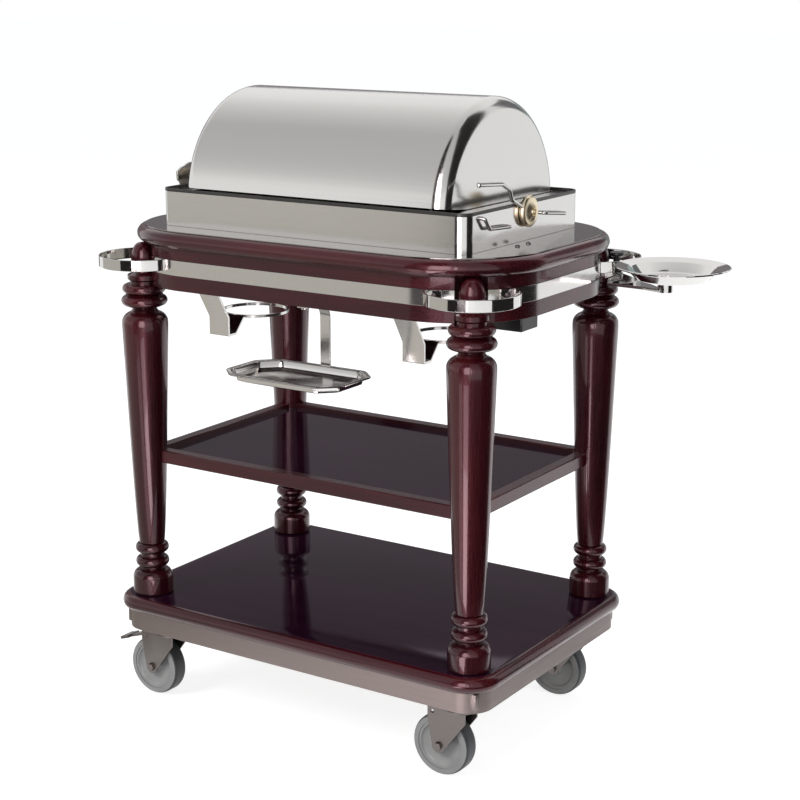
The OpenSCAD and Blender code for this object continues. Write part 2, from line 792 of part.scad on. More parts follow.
module fork(c) {
  color(steel) at_caster(c) difference() {
    union() {
      translate([0, 0, crown_z]) cylinder(h = crown_t, r = 30);
      translate([-trail - 22, -fork_in - fork_t, crown_z]) cube([trail + 22, 2 * (fork_in + fork_t), crown_t]);
      for (s = [-1, 1])
        translate([0, s * (fork_in + fork_t / 2) + fork_t / 2, 0]) rotate([90, 0, 0]) linear_extrude(fork_t) {
          translate([-trail, wheel_r]) circle(r = 13);
          polygon([[-trail - 13, wheel_r], [-trail + 12.6, wheel_r - 3], [22, crown_z - 18], [22, crown_z + crown_t], [-trail - 22, crown_z + crown_t], [-trail - 22, crown_z - 16]]);
        }
    }
    translate([0, 0, crown_z - 1]) cylinder(h = crown_t + 2, r = king_r + run);
    translate([-trail, 0, wheel_r]) rotate([90, 0, 0]) cylinder(h = 4 * fork_in, r = axle_r + run, center = true);
    translate([brake_x, 0, brake_z]) rotate([90, 0, 0]) cylinder(h = 4 * fork_in, r = 3.5 + run, center = true);
  }
}

module axle(c) {
  e = fork_in + fork_t;
  color(steel) at_caster(c) translate([-trail, 0, wheel_r]) rotate([90, 0, 0]) {
    cylinder(h = 2 * e + 2, r = axle_r, center = true);
    for (s = [-1, 1])
      translate([0, 0, s * (e + 2.6)]) cylinder(h = 5, r = 7.5, center = true, $fn = 6);
  }
}

module wheel(c) {
  hw = tyre_w / 2;
  color([0.72, 0.72, 0.7]) at_caster(c) translate([-trail, 0, wheel_r]) rotate([90, 0, 0])
    rotate_extrude() polygon([[axle_r + run, -hw - 3], [14, -hw - 3], [16, -hw + 4], [wheel_r - 18, -hw + 5],
      [wheel_r - 15, -hw + 1], [wheel_r - 11, -hw + 1], [wheel_r - 11, hw - 1], [wheel_r - 15, hw - 1],
      [wheel_r - 18, hw - 5], [16, hw - 4], [14, hw + 3], [axle_r + run, hw + 3]]);
}

module tyre(c) {
  hw = tyre_w / 2;
  color(dark) at_caster(c) translate([-trail, 0, wheel_r]) rotate([90, 0, 0])
    rotate_extrude($fn = 96) polygon(concat([[wheel_r - 11 + 0.02, -hw], [wheel_r - 8, -hw]],
      arc(wheel_r - 8, 6 - hw, 8, -49, 0, 4), arc(wheel_r - 8, hw - 6, 8, 0, 49, 4),
      [[wheel_r - 8, hw], [wheel_r - 11 + 0.02, hw]]));
}

// foot pedal whose pad presses on the tyre
module brake(c) {
  w = 2 * fork_in - 1;
  color(dark) at_caster(c) {
    translate([brake_x, 0, brake_z]) rotate([90, 0, 0]) cylinder(h = 2 * (fork_in + fork_t), r = 3.5, center = true);
    translate([brake_x, 0, brake_z]) rotate([90, 0, 0]) cylinder(h = w, r = 5.5, center = true);
    translate([brake_x, 0, brake_z]) rotate([0, 180 - 18, 0]) {
      translate([0, -9, -2]) cube([58, 18, 4]);
      translate([52, -16, -3]) cube([20, 32, 5]);
    }
  }
}

module placed() {
  translate([shift_x, shift_y, 0]) children();
}

placed() deck();
placed() skirt();
placed() leg(0);  // leg_front_left
placed() leg(1);  // leg_front_right
placed() leg(2);  // leg_rear_left
placed() leg(3);  // leg_rear_right
placed() shelf_frame();
placed() shelf_panel();
placed() apron();
placed() steel_band();
placed() top_board();
placed() steel_top();
placed() guard(0);  // guard_front_left
placed() guard(1);  // guard_front_right
placed() guard(2);  // guard_rear_left
placed() guard(3);  // guard_rear_right
placed() guard_screws();
placed() tub();
placed() rim_seal();
placed() well();
placed() tub_grips();
placed() top_screws();
placed() hanger(-1);  // hanger_left
placed() hanger(1);  // hanger_right
placed() underside_block();
placed() pan_carrier();
placed() food_pan();
placed() carving_board();
placed() sauce_pans();
placed() sauce_lids();
placed() lid_shell();
placed() lid_crank_left();
placed() lid_crank_right();
placed() lid_bosses();
placed() tray_strap();
placed() tray();
placed() plate_bracket();
placed() plate_arm();
placed() plate_post();
placed() plate_dish();
placed() caster_plates();
placed() fork(0);  // fork_front_left
placed() fork(1);  // fork_front_right
placed() fork(2);  // fork_rear_left
placed() fork(3);  // fork_rear_right
placed() axle(0);  // axle_front_left
placed() axle(1);  // axle_front_right
placed() axle(2);  // axle_rear_left
placed() axle(3);  // axle_rear_right
placed() wheel(0);  // wheel_front_left
placed() wheel(1);  // wheel_front_right
placed() wheel(2);  // wheel_rear_left
placed() wheel(3);  // wheel_rear_right
placed() tyre(0);  // tyre_front_left
placed() tyre(1);  // tyre_front_right
placed() tyre(2);  // tyre_rear_left
placed() tyre(3);  // tyre_rear_right
placed() brake(0);  // brake_front_left
placed() brake(2);  // brake_rear_left
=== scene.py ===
"""Look of the carving trolley.

Lacquered mahogany, stainless steel, brass and grey casters, on a pale studio floor.
"""

import json
import math

import bmesh
import bpy
from bpy.props import FloatProperty, FloatVectorProperty, PointerProperty
from mathutils import Matrix, Vector

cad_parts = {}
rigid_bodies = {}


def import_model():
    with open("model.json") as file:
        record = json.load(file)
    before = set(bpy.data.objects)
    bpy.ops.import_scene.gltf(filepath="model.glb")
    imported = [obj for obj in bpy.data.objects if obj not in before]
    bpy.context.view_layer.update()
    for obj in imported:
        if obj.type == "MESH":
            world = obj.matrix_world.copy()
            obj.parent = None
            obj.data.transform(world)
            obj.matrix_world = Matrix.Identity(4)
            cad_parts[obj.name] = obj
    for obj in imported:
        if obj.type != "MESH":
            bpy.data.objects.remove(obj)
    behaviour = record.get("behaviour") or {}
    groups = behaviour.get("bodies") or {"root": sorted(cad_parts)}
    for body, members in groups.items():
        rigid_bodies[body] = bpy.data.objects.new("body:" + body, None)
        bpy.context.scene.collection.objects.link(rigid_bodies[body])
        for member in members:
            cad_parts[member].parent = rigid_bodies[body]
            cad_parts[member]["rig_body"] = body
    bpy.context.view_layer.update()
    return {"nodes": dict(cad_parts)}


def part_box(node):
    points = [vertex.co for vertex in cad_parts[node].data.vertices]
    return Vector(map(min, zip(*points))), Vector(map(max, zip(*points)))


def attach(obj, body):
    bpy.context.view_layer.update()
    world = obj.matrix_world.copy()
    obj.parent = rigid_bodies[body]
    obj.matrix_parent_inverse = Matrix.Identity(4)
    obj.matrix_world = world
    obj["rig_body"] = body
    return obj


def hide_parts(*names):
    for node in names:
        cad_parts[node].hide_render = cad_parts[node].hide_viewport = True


bl_info = {
    "name": "Carving trolley",
    "version": (1, 0, 0),
    "blender": (4, 5, 0),
    "location": "View3D > Sidebar > Trolley",
    "description": "Builds the finished pieces of a roll-top carving trolley",
    "category": "Add Mesh",
}

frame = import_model()

MM = 0.001
WELD = 1e-6  # points closer than this are one
SEAM = 2e-6  # the same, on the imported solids

CORNERS = ("front_left", "front_right", "rear_left", "rear_right")
DECK_CORNER = 0.060
TOP_CORNER = 0.175
LID_RADIUS = 0.190
LID_GAP = 6  # degrees by which the lid's front edge stops above its pivot
BOSS_OUT = 320 * MM
LEVER_OUT = 324.5 * MM
GUARD_TURN = Vector((0.238, 0.087))  # centre of the apron's corner, from the trolley's
TREAD_SIDE = 0.92  # faces of a tyre that look further sideways than this have the wheel's finish
SHAFT_HOLE = 8.05 * MM
FLOOR_GLOW = 0.82


def middle(node):
    """Centre of a solid's box."""
    low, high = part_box(node)
    return (low + high) / 2


def half(node):
    """Half sizes of a solid's box."""
    low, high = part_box(node)
    return (high - low) / 2


# the trolley's own centre line, which the deck and the tub share
CENTRE = middle("deck")
PIVOT = middle("lid_bosses")


# settings ---------------------------------------------------------------------------


def size(label, text, value):
    return FloatProperty(
        name=label, description=text, default=value, min=0.0, unit="LENGTH", subtype="DISTANCE"
    )


def colour(label, text, value):
    return FloatVectorProperty(
        name=label, description=text, default=value, size=3, min=0.0, max=1.0, subtype="COLOR"
    )


def share(label, text, value):
    return FloatProperty(name=label, description=text, default=value, min=0.0, max=1.0, subtype="FACTOR")


class TrolleyWood(bpy.types.PropertyGroup):
    dark: colour("Dark grain", "Colour of the darkest grain lines", (0.010, 0.0022, 0.0025))
    body: colour("Body", "Main colour of the stained mahogany", (0.028, 0.0020, 0.0043))
    warm: colour("Warm grain", "Colour of the lightest grain", (0.056, 0.0052, 0.0066))
    floor: colour("Shelf floors", "Colour of the dark laminate on deck and shelf", (0.014, 0.0030, 0.0105))
    lacquer: share("Lacquer roughness", "Roughness of the clear coat", 0.06)
    foot_radius: size("Foot radius", "Radius of the leg's foot", 0.037)
    ring_radius: size("Ring radius", "Radius of the two lower rings", 0.031)
    ankle_radius: size("Ankle radius", "Thinnest part of the shaft", 0.0235)
    leg_radius: size("Shoulder radius", "Widest part of the shaft and its beads", 0.0415)
    neck_height: size("Neck height", "Height of the leg's neck above the deck", 0.540)


class TrolleySteel(bpy.types.PropertyGroup):
    polished: colour("Polished steel", "Colour of the polished steel", (0.66, 0.65, 0.63))
    brushed: colour("Brushed steel", "Colour of the brushed table top", (0.35, 0.33, 0.32))
    satin: colour("Satin steel", "Colour of the satin skirt and straps", (0.235, 0.200, 0.190))
    zinc: colour("Zinc", "Colour of the plated casters and screws", (0.165, 0.148, 0.140))
    brass: colour("Brass", "Colour of the two bosses", (0.86, 0.74, 0.54))
    lid_edge: size("Lid edge radius", "Radius of the lid's rounded end edge", 0.025)
    sheet: size("Sheet", "Thickness of the lid and the dish", 0.0015)
    rod: size("Grip wire", "Radius of the tub's wire grips", 0.0032)
    lever: size("Lever rod", "Radius of the right hand lever", 0.0035)


class TrolleyStage(bpy.types.PropertyGroup):
    camera: FloatVectorProperty(
        name="Camera", description="Place of the camera", default=(1.6704, -2.601, 1.358), size=3,
        unit="LENGTH", subtype="TRANSLATION",
    )
    target: FloatVectorProperty(
        name="Target", description="Point that the camera faces", default=(-0.058, 0.0468, 0.6511), size=3,
        unit="LENGTH", subtype="TRANSLATION",
    )
    lens: FloatProperty(name="Lens", description="Focal length in millimetres", default=80.07, min=10.0)
    shift: FloatProperty(name="Shift", description="Upward shift of the lens", default=-0.05)
    floor_size: size("Floor", "Width of the pale floor", 60.0)


SETTINGS = {"trolley_wood": TrolleyWood, "trolley_steel": TrolleySteel, "trolley_stage": TrolleyStage}


# finishes ---------------------------------------------------------------------------


class Nodes:
    """Adds and joins the nodes of one tree."""

    def __init__(self, tree):
        self.tree = tree

    def add(self, kind, inputs=None, **settings):
        node = self.tree.nodes.new(kind)
        for key, value in settings.items():
            setattr(node, key, value)
        for key, value in (inputs or {}).items():
            if isinstance(value, bpy.types.NodeSocket):
                self.tree.links.new(value, node.inputs[key])
            else:
                node.inputs[key].default_value = value
        return node


def rgba(value, gain=1.0):
    return (value[0] * gain, value[1] * gain, value[2] * gain, 1.0)


def new_finish(name):
    """An empty material with its node helper."""
    material = bpy.data.materials.new(name)
    material.use_nodes = True
    material.node_tree.nodes.clear()
    return material, Nodes(material.node_tree)


def close_finish(made, shader_inputs, bump=None):
    """Ends a finish in one Principled shader."""
    inputs = dict(shader_inputs)
    if bump is not None:
        inputs["Normal"] = bump
    shader = made.add("ShaderNodeBsdfPrincipled", inputs)
    made.add("ShaderNodeOutputMaterial", {"Surface": shader.outputs["BSDF"]})


def streaks(made, scale, detail, seed=0.0):
    """Noise on the piece's own coordinates, stretched by a scale for each axis."""
    place = made.add("ShaderNodeTexCoord").outputs["Object"]
    shift = (seed, seed * 0.7, seed * 1.3)
    mapped = made.add("ShaderNodeMapping", {"Vector": place, "Scale": scale, "Location": shift})
    return made.add(
        "ShaderNodeTexNoise",
        {"Vector": mapped.outputs["Vector"], "Scale": 1.0, "Detail": detail, "Roughness": 0.55},
    ).outputs["Fac"]


def spread(made, value, low, high, start=0.3, end=0.7):
    return made.add(
        "ShaderNodeMapRange",
        {"Value": value, "From Min": start, "From Max": end, "To Min": low, "To Max": high},
    ).outputs["Result"]


def ramp(made, value, stops):
    node = made.add("ShaderNodeValToRGB", {"Fac": value})
    band = node.color_ramp
    while len(band.elements) < len(stops):
        band.elements.new(0.5)
    for element, (place, shade) in zip(band.elements, stops):
        element.position = place
        element.color = shade
    return node.outputs["Color"]


def bumped(made, height, strength, distance=0.0005):
    return made.add(
        "ShaderNodeBump", {"Height": height, "Strength": strength, "Distance": distance}
    ).outputs["Normal"]


def mahogany(name, along, wood):
    """Stained and lacquered mahogany with its grain along one axis: 0 for X, 1 for Y, 2 for Z."""
    material, made = new_finish(name)
    broad = [14.0, 14.0, 14.0]
    broad[along] = 1.6
    fine = [520.0, 520.0, 520.0]
    fine[along] = 9.0
    figure = streaks(made, broad, 5.0, seed=along * 3.1)
    pores = streaks(made, fine, 2.0, seed=5.0)
    flecks = spread(made, pores, -0.07, 0.07)
    mixed = made.add("ShaderNodeMath", {0: figure, 1: flecks}, operation="ADD").outputs[0]
    tint = ramp(made, mixed, [(0.30, rgba(wood.dark)), (0.52, rgba(wood.body)), (0.74, rgba(wood.warm))])
    close_finish(
        made,
        {
            "Base Color": tint,
            "Roughness": spread(made, pores, 0.24, 0.34),
            "Specular IOR Level": 0.5,
            "Specular Tint": (1.0, 0.5, 0.58, 1.0),
            "Coat Weight": 0.6,
            "Coat Roughness": wood.lacquer,
            "Coat IOR": 1.45,
        },
        bumped(made, pores, 0.06),
    )
    return material


def laminate(wood):
    """Dark glossy floor of the deck and the shelf, with faint grain along X."""
    material, made = new_finish("dark_laminate")
    grain = streaks(made, (3.0, 60.0, 20.0), 4.0, seed=2.0)
    haze = streaks(made, (9.0, 9.0, 9.0), 3.0, seed=8.0)
    tint = ramp(made, grain, [(0.3, rgba(wood.floor, 0.7)), (0.7, rgba(wood.floor, 1.35))])
    close_finish(
        made,
        {
            "Base Color": tint,
            "Roughness": spread(made, haze, 0.06, 0.10),
            "Specular IOR Level": 0.35,
            "Specular Tint": (1.0, 0.6, 0.9, 1.0),
        },
    )
    return material


def metal(name, tint, rough, brushed, seed=0.0, bump=0.03):
    """Steel or brass with brush lines: the scale is low along the lines and high across them."""
    material, made = new_finish(name)
    lines = streaks(made, brushed, 3.0, seed)
    clouds = streaks(made, (7.0, 7.0, 7.0), 3.0, seed + 4.0)
    shade = made.add("ShaderNodeMath", {0: lines, 1: clouds}, operation="ADD").outputs[0]
    tone = ramp(made, shade, [(0.42, rgba(tint, 0.93)), (0.62, rgba(tint, 1.05))])
    close_finish(
        made,
        {"Base Color": tone, "Metallic": 1.0, "Roughness": spread(made, lines, rough * 0.8, rough * 1.25)},
        bumped(made, lines, bump, 0.0002) if bump else None,
    )
    return material


def moulded(name, tint, rough):
    """Plastic, rubber or paint with a fine surface grain."""
    material, made = new_finish(name)
    skin = streaks(made, (900.0,) * 3, 2.0)
    dust = streaks(made, (16.0,) * 3, 4.0, seed=3.0)
    tone = ramp(made, dust, [(0.35, rgba(tint, 0.85)), (0.65, rgba(tint, 1.12))])
    close_finish(
        made,
        {"Base Color": tone, "Roughness": spread(made, dust, rough * 0.9, rough * 1.1)},
        bumped(made, skin, 0.05),
    )
    return material


def board_finish():
    """Pale carving board with faint knife marks."""
    material, made = new_finish("carving_board")
    marks = streaks(made, (40.0, 700.0, 40.0), 2.0, seed=6.0)
    stain = streaks(made, (9.0, 9.0, 9.0), 4.0, seed=1.0)
    tone = ramp(made, stain, [(0.35, (0.66, 0.58, 0.44, 1.0)), (0.7, (0.78, 0.72, 0.58, 1.0))])
    rough = spread(made, marks, 0.42, 0.58)
    close_finish(made, {"Base Color": tone, "Roughness": rough}, bumped(made, marks, 0.15))
    return material


FINISH = {}


def make_finishes(wood, steel):
    FINISH.update(
        wood_upright=mahogany("mahogany_upright", 2, wood),
        wood_long=mahogany("mahogany_long", 0, wood),
        wood_cross=mahogany("mahogany_cross", 1, wood),
        laminate=laminate(wood),
        lid=metal("polished_lid", steel.polished, 0.17, (2.0, 500.0, 500.0), bump=0.02),
        polished=metal("polished_steel", steel.polished, 0.15, (30.0, 30.0, 600.0), 1.0, bump=0.02),
        bright=metal("bright_steel", steel.polished, 0.07, (40.0, 40.0, 40.0), 2.0, bump=0.0),
        table=metal("brushed_steel_top", steel.brushed, 0.13, (3.0, 700.0, 100.0), 5.0),
        satin=metal("satin_steel", steel.satin, 0.42, (8.0, 8.0, 500.0), 3.0, bump=0.05),
        zinc=metal("zinc_plate", steel.zinc, 0.34, (60.0, 60.0, 60.0), 7.0, bump=0.05),
        brass=metal("brass", steel.brass, 0.30, (90.0, 30.0, 30.0), 4.0, bump=0.02),
        board=board_finish(),
        wheel=moulded("wheel_grey", (0.31, 0.305, 0.30), 0.35),
        tyre=moulded("tyre_grey", (0.040, 0.042, 0.045), 0.45),
        paint=moulded("dark_paint", (0.022, 0.020, 0.022), 0.30),
        rubber=moulded("black_rubber", (0.030, 0.028, 0.026), 0.28),
    )


# shapes -----------------------------------------------------------------------------


def rounded(hx, hy, radius, z, centre=CENTRE, steps=14):
    """Points round a rectangle with round corners, given by its half sizes."""
    points = []
    for turn, (sx, sy) in enumerate(((1, 1), (-1, 1), (-1, -1), (1, -1))):
        for i in range(steps + 1):
            a = math.radians(90 * turn + 90 * i / steps)
            points.append(
                Vector((
                    centre.x + sx * (hx - radius) + radius * math.cos(a),
                    centre.y + sy * (hy - radius) + radius * math.sin(a),
                    z,
                ))
            )
    return points


def clipped(hx, hy, cut, z, centre):
    """Points round a rectangle whose corners are cut off at 45 degrees, each point softened."""
    steps, soft = 3, 0.006
    flat = [
        (hx, cut - hy), (hx, hy - cut), (hx - cut, hy), (cut - hx, hy),
        (-hx, hy - cut), (-hx, cut - hy), (cut - hx, -hy), (hx - cut, -hy),
    ]
    flat = [Vector((centre.x + x, centre.y + y, z)) for x, y in flat]
    points = []
    for i, corner in enumerate(flat):
        before = (flat[i - 1] - corner).normalized()
        after = (flat[(i + 1) % len(flat)] - corner).normalized()
        start, end = corner + before * soft, corner + after * soft
        for k in range(steps + 1):
            t = k / steps
            points.append(start * (1 - t) ** 2 + corner * 2 * t * (1 - t) + end * t * t)
    return points


def arc(cx, cy, radius, start, end, steps=10):
    """Points on an arc, in degrees."""
    return [
        (cx + radius * math.cos(math.radians(start + (end - start) * i / steps)),
         cy + radius * math.sin(math.radians(start + (end - start) * i / steps)))
        for i in range(steps + 1)
    ]


def mesh_of(name, points, faces=(), edges=()):
    mesh = bpy.data.meshes.new(name)
    mesh.from_pydata([tuple(p) for p in points], edges, faces)
    mesh.update()
    return mesh


def lofted(name, loops, ring=False):
    """A skin over a stack of loops, with both ends capped or, as a ring, the last joined to the first."""
    count = len(loops[0])
    points = [p for loop in loops for p in loop]
    faces = []
    for a in range(len(loops) if ring else len(loops) - 1):
        b = (a + 1) % len(loops)
        for i in range(count):
            j = (i + 1) % count
            faces.append((a * count + i, a * count + j, b * count + j, b * count + i))
    if not ring:
        faces.append(tuple(reversed(range(count))))
        last = (len(loops) - 1) * count
        faces.append(tuple(range(last, last + count)))
    return mesh_of(name, points, faces)


def edge_path(name, points):
    """Bare edges through a list of points, for the trees below to follow."""
    return mesh_of(name, points, (), [(i, i + 1) for i in range(len(points) - 1)])


def shape_tree(name, sockets):
    """A Geometry Nodes tree with a geometry input, named inputs and a geometry output."""
    tree = bpy.data.node_groups.new(name, "GeometryNodeTree")
    tree.interface.new_socket("Geometry", in_out="INPUT", socket_type="NodeSocketGeometry")
    for label, kind, value in sockets:
        socket = tree.interface.new_socket(label, in_out="INPUT", socket_type=kind)
        if value is not None:
            socket.default_value = value
    tree.interface.new_socket("Geometry", in_out="OUTPUT", socket_type="NodeSocketGeometry")
    made = Nodes(tree)
    return tree, made, made.add("NodeGroupInput").outputs


def end_tree(made, geometry, material):
    real = made.add("GeometryNodeRealizeInstances", {"Geometry": geometry})
    coated = made.add("GeometryNodeSetMaterial", {"Geometry": real.outputs["Geometry"], "Material": material})
    made.add("NodeGroupOutput", {"Geometry": coated.outputs["Geometry"]})


def turning_tree():
    """Turns an outline, given as points with X as radius and Z as height, about the Z axis."""
    tree, made, given = shape_tree(
        "turned",
        [
            ("Segments", "NodeSocketInt", 96),
            ("Turn", "NodeSocketFloat", 2 * math.pi),
            ("Material", "NodeSocketMaterial", None),
        ],
    )
    tally = made.add("GeometryNodeAttributeDomainSize", {"Geometry": given["Geometry"]})
    count = tally.outputs["Point Count"]
    around = made.add("ShaderNodeMath", {0: given["Segments"], 1: 1.0}, operation="ADD").outputs[0]
    grid = made.add(
        "GeometryNodeMeshGrid", {"Size X": 1.0, "Size Y": 1.0, "Vertices X": around, "Vertices Y": count}
    ).outputs["Mesh"]
    flat = made.add("ShaderNodeSeparateXYZ", {"Vector": made.add("GeometryNodeInputPosition").outputs[0]})
    last = made.add("ShaderNodeMath", {0: count, 1: 1.0}, operation="SUBTRACT").outputs[0]
    along = made.add("ShaderNodeMath", {0: flat.outputs["Y"], 1: 0.5}, operation="ADD").outputs[0]
    step = made.add("ShaderNodeMath", {0: along, 1: last}, operation="MULTIPLY").outputs[0]
    index = made.add("ShaderNodeMath", {0: step}, operation="ROUND").outputs[0]
    spot = made.add("GeometryNodeInputPosition").outputs[0]
    point = made.add(
        "GeometryNodeSampleIndex",
        {"Geometry": given["Geometry"], "Value": spot, "Index": index},
        data_type="FLOAT_VECTOR", domain="POINT",
    ).outputs["Value"]
    outline = made.add("ShaderNodeSeparateXYZ", {"Vector": point}).outputs
    share_round = made.add("ShaderNodeMath", {0: flat.outputs["X"], 1: 0.5}, operation="ADD").outputs[0]
    angle = made.add("ShaderNodeMath", {0: share_round, 1: given["Turn"]}, operation="MULTIPLY").outputs[0]
    flat_xy = [
        made.add(
            "ShaderNodeMath",
            {0: outline["X"], 1: made.add("ShaderNodeMath", {0: angle}, operation=way).outputs[0]},
            operation="MULTIPLY",
        ).outputs[0]
        for way in ("COSINE", "SINE")
    ]
    place = made.add("ShaderNodeCombineXYZ", {"X": flat_xy[0], "Y": flat_xy[1], "Z": outline["Z"]}).outputs[0]
    moved = made.add("GeometryNodeSetPosition", {"Geometry": grid, "Position": place}).outputs["Geometry"]
    welded = made.add("GeometryNodeMergeByDistance", {"Geometry": moved, "Distance": WELD})
    end_tree(made, welded.outputs["Geometry"], given["Material"])
    return tree


def rod_tree():
    """A round rod along a path, with round bends."""
    tree, made, given = shape_tree(
        "bent_rod",
        [
            ("Radius", "NodeSocketFloat", 0.003),
            ("Bend", "NodeSocketFloat", 0.008),
            ("Material", "NodeSocketMaterial", None),
        ],
    )
    line = made.add("GeometryNodeMeshToCurve", {"Mesh": given["Geometry"]}).outputs["Curve"]
    bent = made.add(
        "GeometryNodeFilletCurve",
        {"Curve": line, "Count": 8, "Radius": given["Bend"], "Limit Radius": True}, mode="POLY",
    ).outputs["Curve"]
    section = made.add(
        "GeometryNodeCurvePrimitiveCircle", {"Resolution": 20, "Radius": given["Radius"]}
    ).outputs["Curve"]
    solid = made.add(
        "GeometryNodeCurveToMesh", {"Curve": bent, "Profile Curve": section, "Fill Caps": True}
    ).outputs["Mesh"]
    end_tree(made, solid, given["Material"])
    return tree


def screw_tree():
    """Puts one screw head on each point, with its axis along the point's own 'facing' vector."""
    tree, made, given = shape_tree(
        "screws", [("Head", "NodeSocketObject", None), ("Material", "NodeSocketMaterial", None)]
    )
    head = made.add("GeometryNodeObjectInfo", {"Object": given["Head"], "As Instance": True})
    facing = made.add(
        "GeometryNodeInputNamedAttribute", {"Name": "facing"}, data_type="FLOAT_VECTOR"
    ).outputs["Attribute"]
    turn = made.add("FunctionNodeAlignRotationToVector", {"Vector": facing}, axis="Z").outputs["Rotation"]
    placed = made.add(
        "GeometryNodeInstanceOnPoints",
        {"Points": given["Geometry"], "Instance": head.outputs["Geometry"], "Rotation": turn},
    ).outputs["Instances"]
    end_tree(made, placed, given["Material"])
    return tree


TREES = {}


def grown(kind, seed_mesh, values):
    """The plain mesh that a tree makes from a seed mesh, with its inputs set by identifier."""
    if kind not in TREES:
        TREES[kind] = {"turned": turning_tree, "rod": rod_tree, "screws": screw_tree}[kind]()
    tree = TREES[kind]
    carrier = bpy.data.objects.new("seed", seed_mesh)
    bpy.context.scene.collection.objects.link(carrier)
    modifier = carrier.modifiers.new("shape", "NODES")
    modifier.node_group = tree
    for item in tree.interface.items_tree:
        if item.item_type == "SOCKET" and item.in_out == "INPUT" and item.name in values:
            modifier[item.identifier] = values[item.name]
    bpy.context.view_layer.update()
    plain = bpy.data.meshes.new_from_object(carrier.evaluated_get(bpy.context.evaluated_depsgraph_get()))
    carrier.modifiers.clear()
    bpy.data.objects.remove(carrier)
    bpy.data.meshes.remove(seed_mesh)
    return plain


def turned(outline, finish, segments=96, turn=2 * math.pi):
    """A turned shape about Z from (radius, height) points."""
    seed = edge_path("outline", [(r, 0.0, h) for r, h in outline])
    return grown("turned", seed, {"Segments": segments, "Turn": turn, "Material": FINISH[finish]})


def rod(points, radius, bend):
    """A bright rod through a list of points."""
    values = {"Radius": radius, "Bend": bend, "Material": FINISH["bright"]}
    return grown("rod", edge_path("path", points), values)


def joined(meshes, name):
    """Several meshes as one."""
    bm = bmesh.new()
    for mesh in meshes:
        bm.from_mesh(mesh)
        bpy.data.meshes.remove(mesh)
    made = bpy.data.meshes.new(name)
    bm.to_mesh(made)
    bm.free()
    return made


def placed(mesh, place, axis="Z"):
    """Moves a mesh to a place, after turning its Z axis to the given one."""
    turn = {
        "Z": Matrix(),
        "Y": Matrix.Rotation(math.radians(-90), 4, "X"),
        "X": Matrix.Rotation(math.radians(90), 4, "Y"),
        "-X": Matrix.Rotation(math.radians(-90), 4, "Y"),
    }[axis]
    mesh.transform(Matrix.Translation(Vector(place)) @ turn)
    return mesh


def tidy(mesh):
    """Merges doubles and turns every face outwards."""
    bm = bmesh.new()
    bm.from_mesh(mesh)
    bmesh.ops.remove_doubles(bm, verts=bm.verts, dist=WELD)
    bmesh.ops.recalc_face_normals(bm, faces=bm.faces)
    bm.to_mesh(mesh)
    bm.free()
    return mesh


def show(name, mesh, body, finish, nodes, bevel=0.0, smooth=35.0, clean=True):
    """Puts a finished mesh in the scene, on its body, in place of the nodes that it stands for."""
    if clean:
        tidy(mesh)
    mesh.name = name
    if not mesh.materials:
        mesh.materials.append(FINISH[finish])
    for polygon in mesh.polygons:
        polygon.use_smooth = True
    mesh.set_sharp_from_angle(angle=math.radians(smooth))
    piece = bpy.data.objects.new(name, mesh)
    bpy.context.scene.collection.objects.link(piece)
    if bevel:
        round_edges(piece, bevel)
    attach(piece, body)
    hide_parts(*nodes)


def round_edges(piece, width):
    bevel = piece.modifiers.new("edges", "BEVEL")
    bevel.width = width
    bevel.segments = 2
    bevel.limit_method = "ANGLE"
    bevel.angle_limit = math.radians(35.0)
    bevel.harden_normals = False
    bevel.use_clamp_overlap = True


def dressed(node, finish, bevel, name):
    """The solid's own shape with its flat faces made whole, its edges eased and its finish on."""
    bm = bmesh.new()
    bm.from_mesh(frame["nodes"][node].data)
    bmesh.ops.remove_doubles(bm, verts=bm.verts, dist=SEAM)
    bmesh.ops.dissolve_limit(bm, angle_limit=math.radians(0.6), verts=bm.verts, edges=bm.edges)
    mesh = bpy.data.meshes.new(node)
    bm.to_mesh(mesh)
    bm.free()
    show(name, mesh, frame["nodes"][node]["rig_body"], finish, [node], bevel, smooth=32.0, clean=False)


# pieces -----------------------------------------------------------------------------


def half_round_loops(node, radius):
    """Loops of a board whose edge is a half round, from the box of its solid."""
    low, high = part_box(node)
    hx, hy, b = (high.x - low.x) / 2, (high.y - low.y) / 2, (high.z - low.z) / 2
    centre = (low + high) / 2
    loops = []
    for a in map(math.radians, range(-90, 91, 15)):
        out, z = b * math.cos(a), centre.z + b * math.sin(a)
        loops.append(rounded(hx - b + out, hy - b + out, radius - b + out, z, centre))
    return loops


def build_deck():
    mesh = lofted("deck", half_round_loops("deck", DECK_CORNER))
    mesh.materials.append(FINISH["wood_long"])
    mesh.materials.append(FINISH["laminate"])
    mesh.polygons[len(mesh.polygons) - 1].material_index = 1
    show("deck_board", mesh, "trolley", "wood_long", ["deck"])


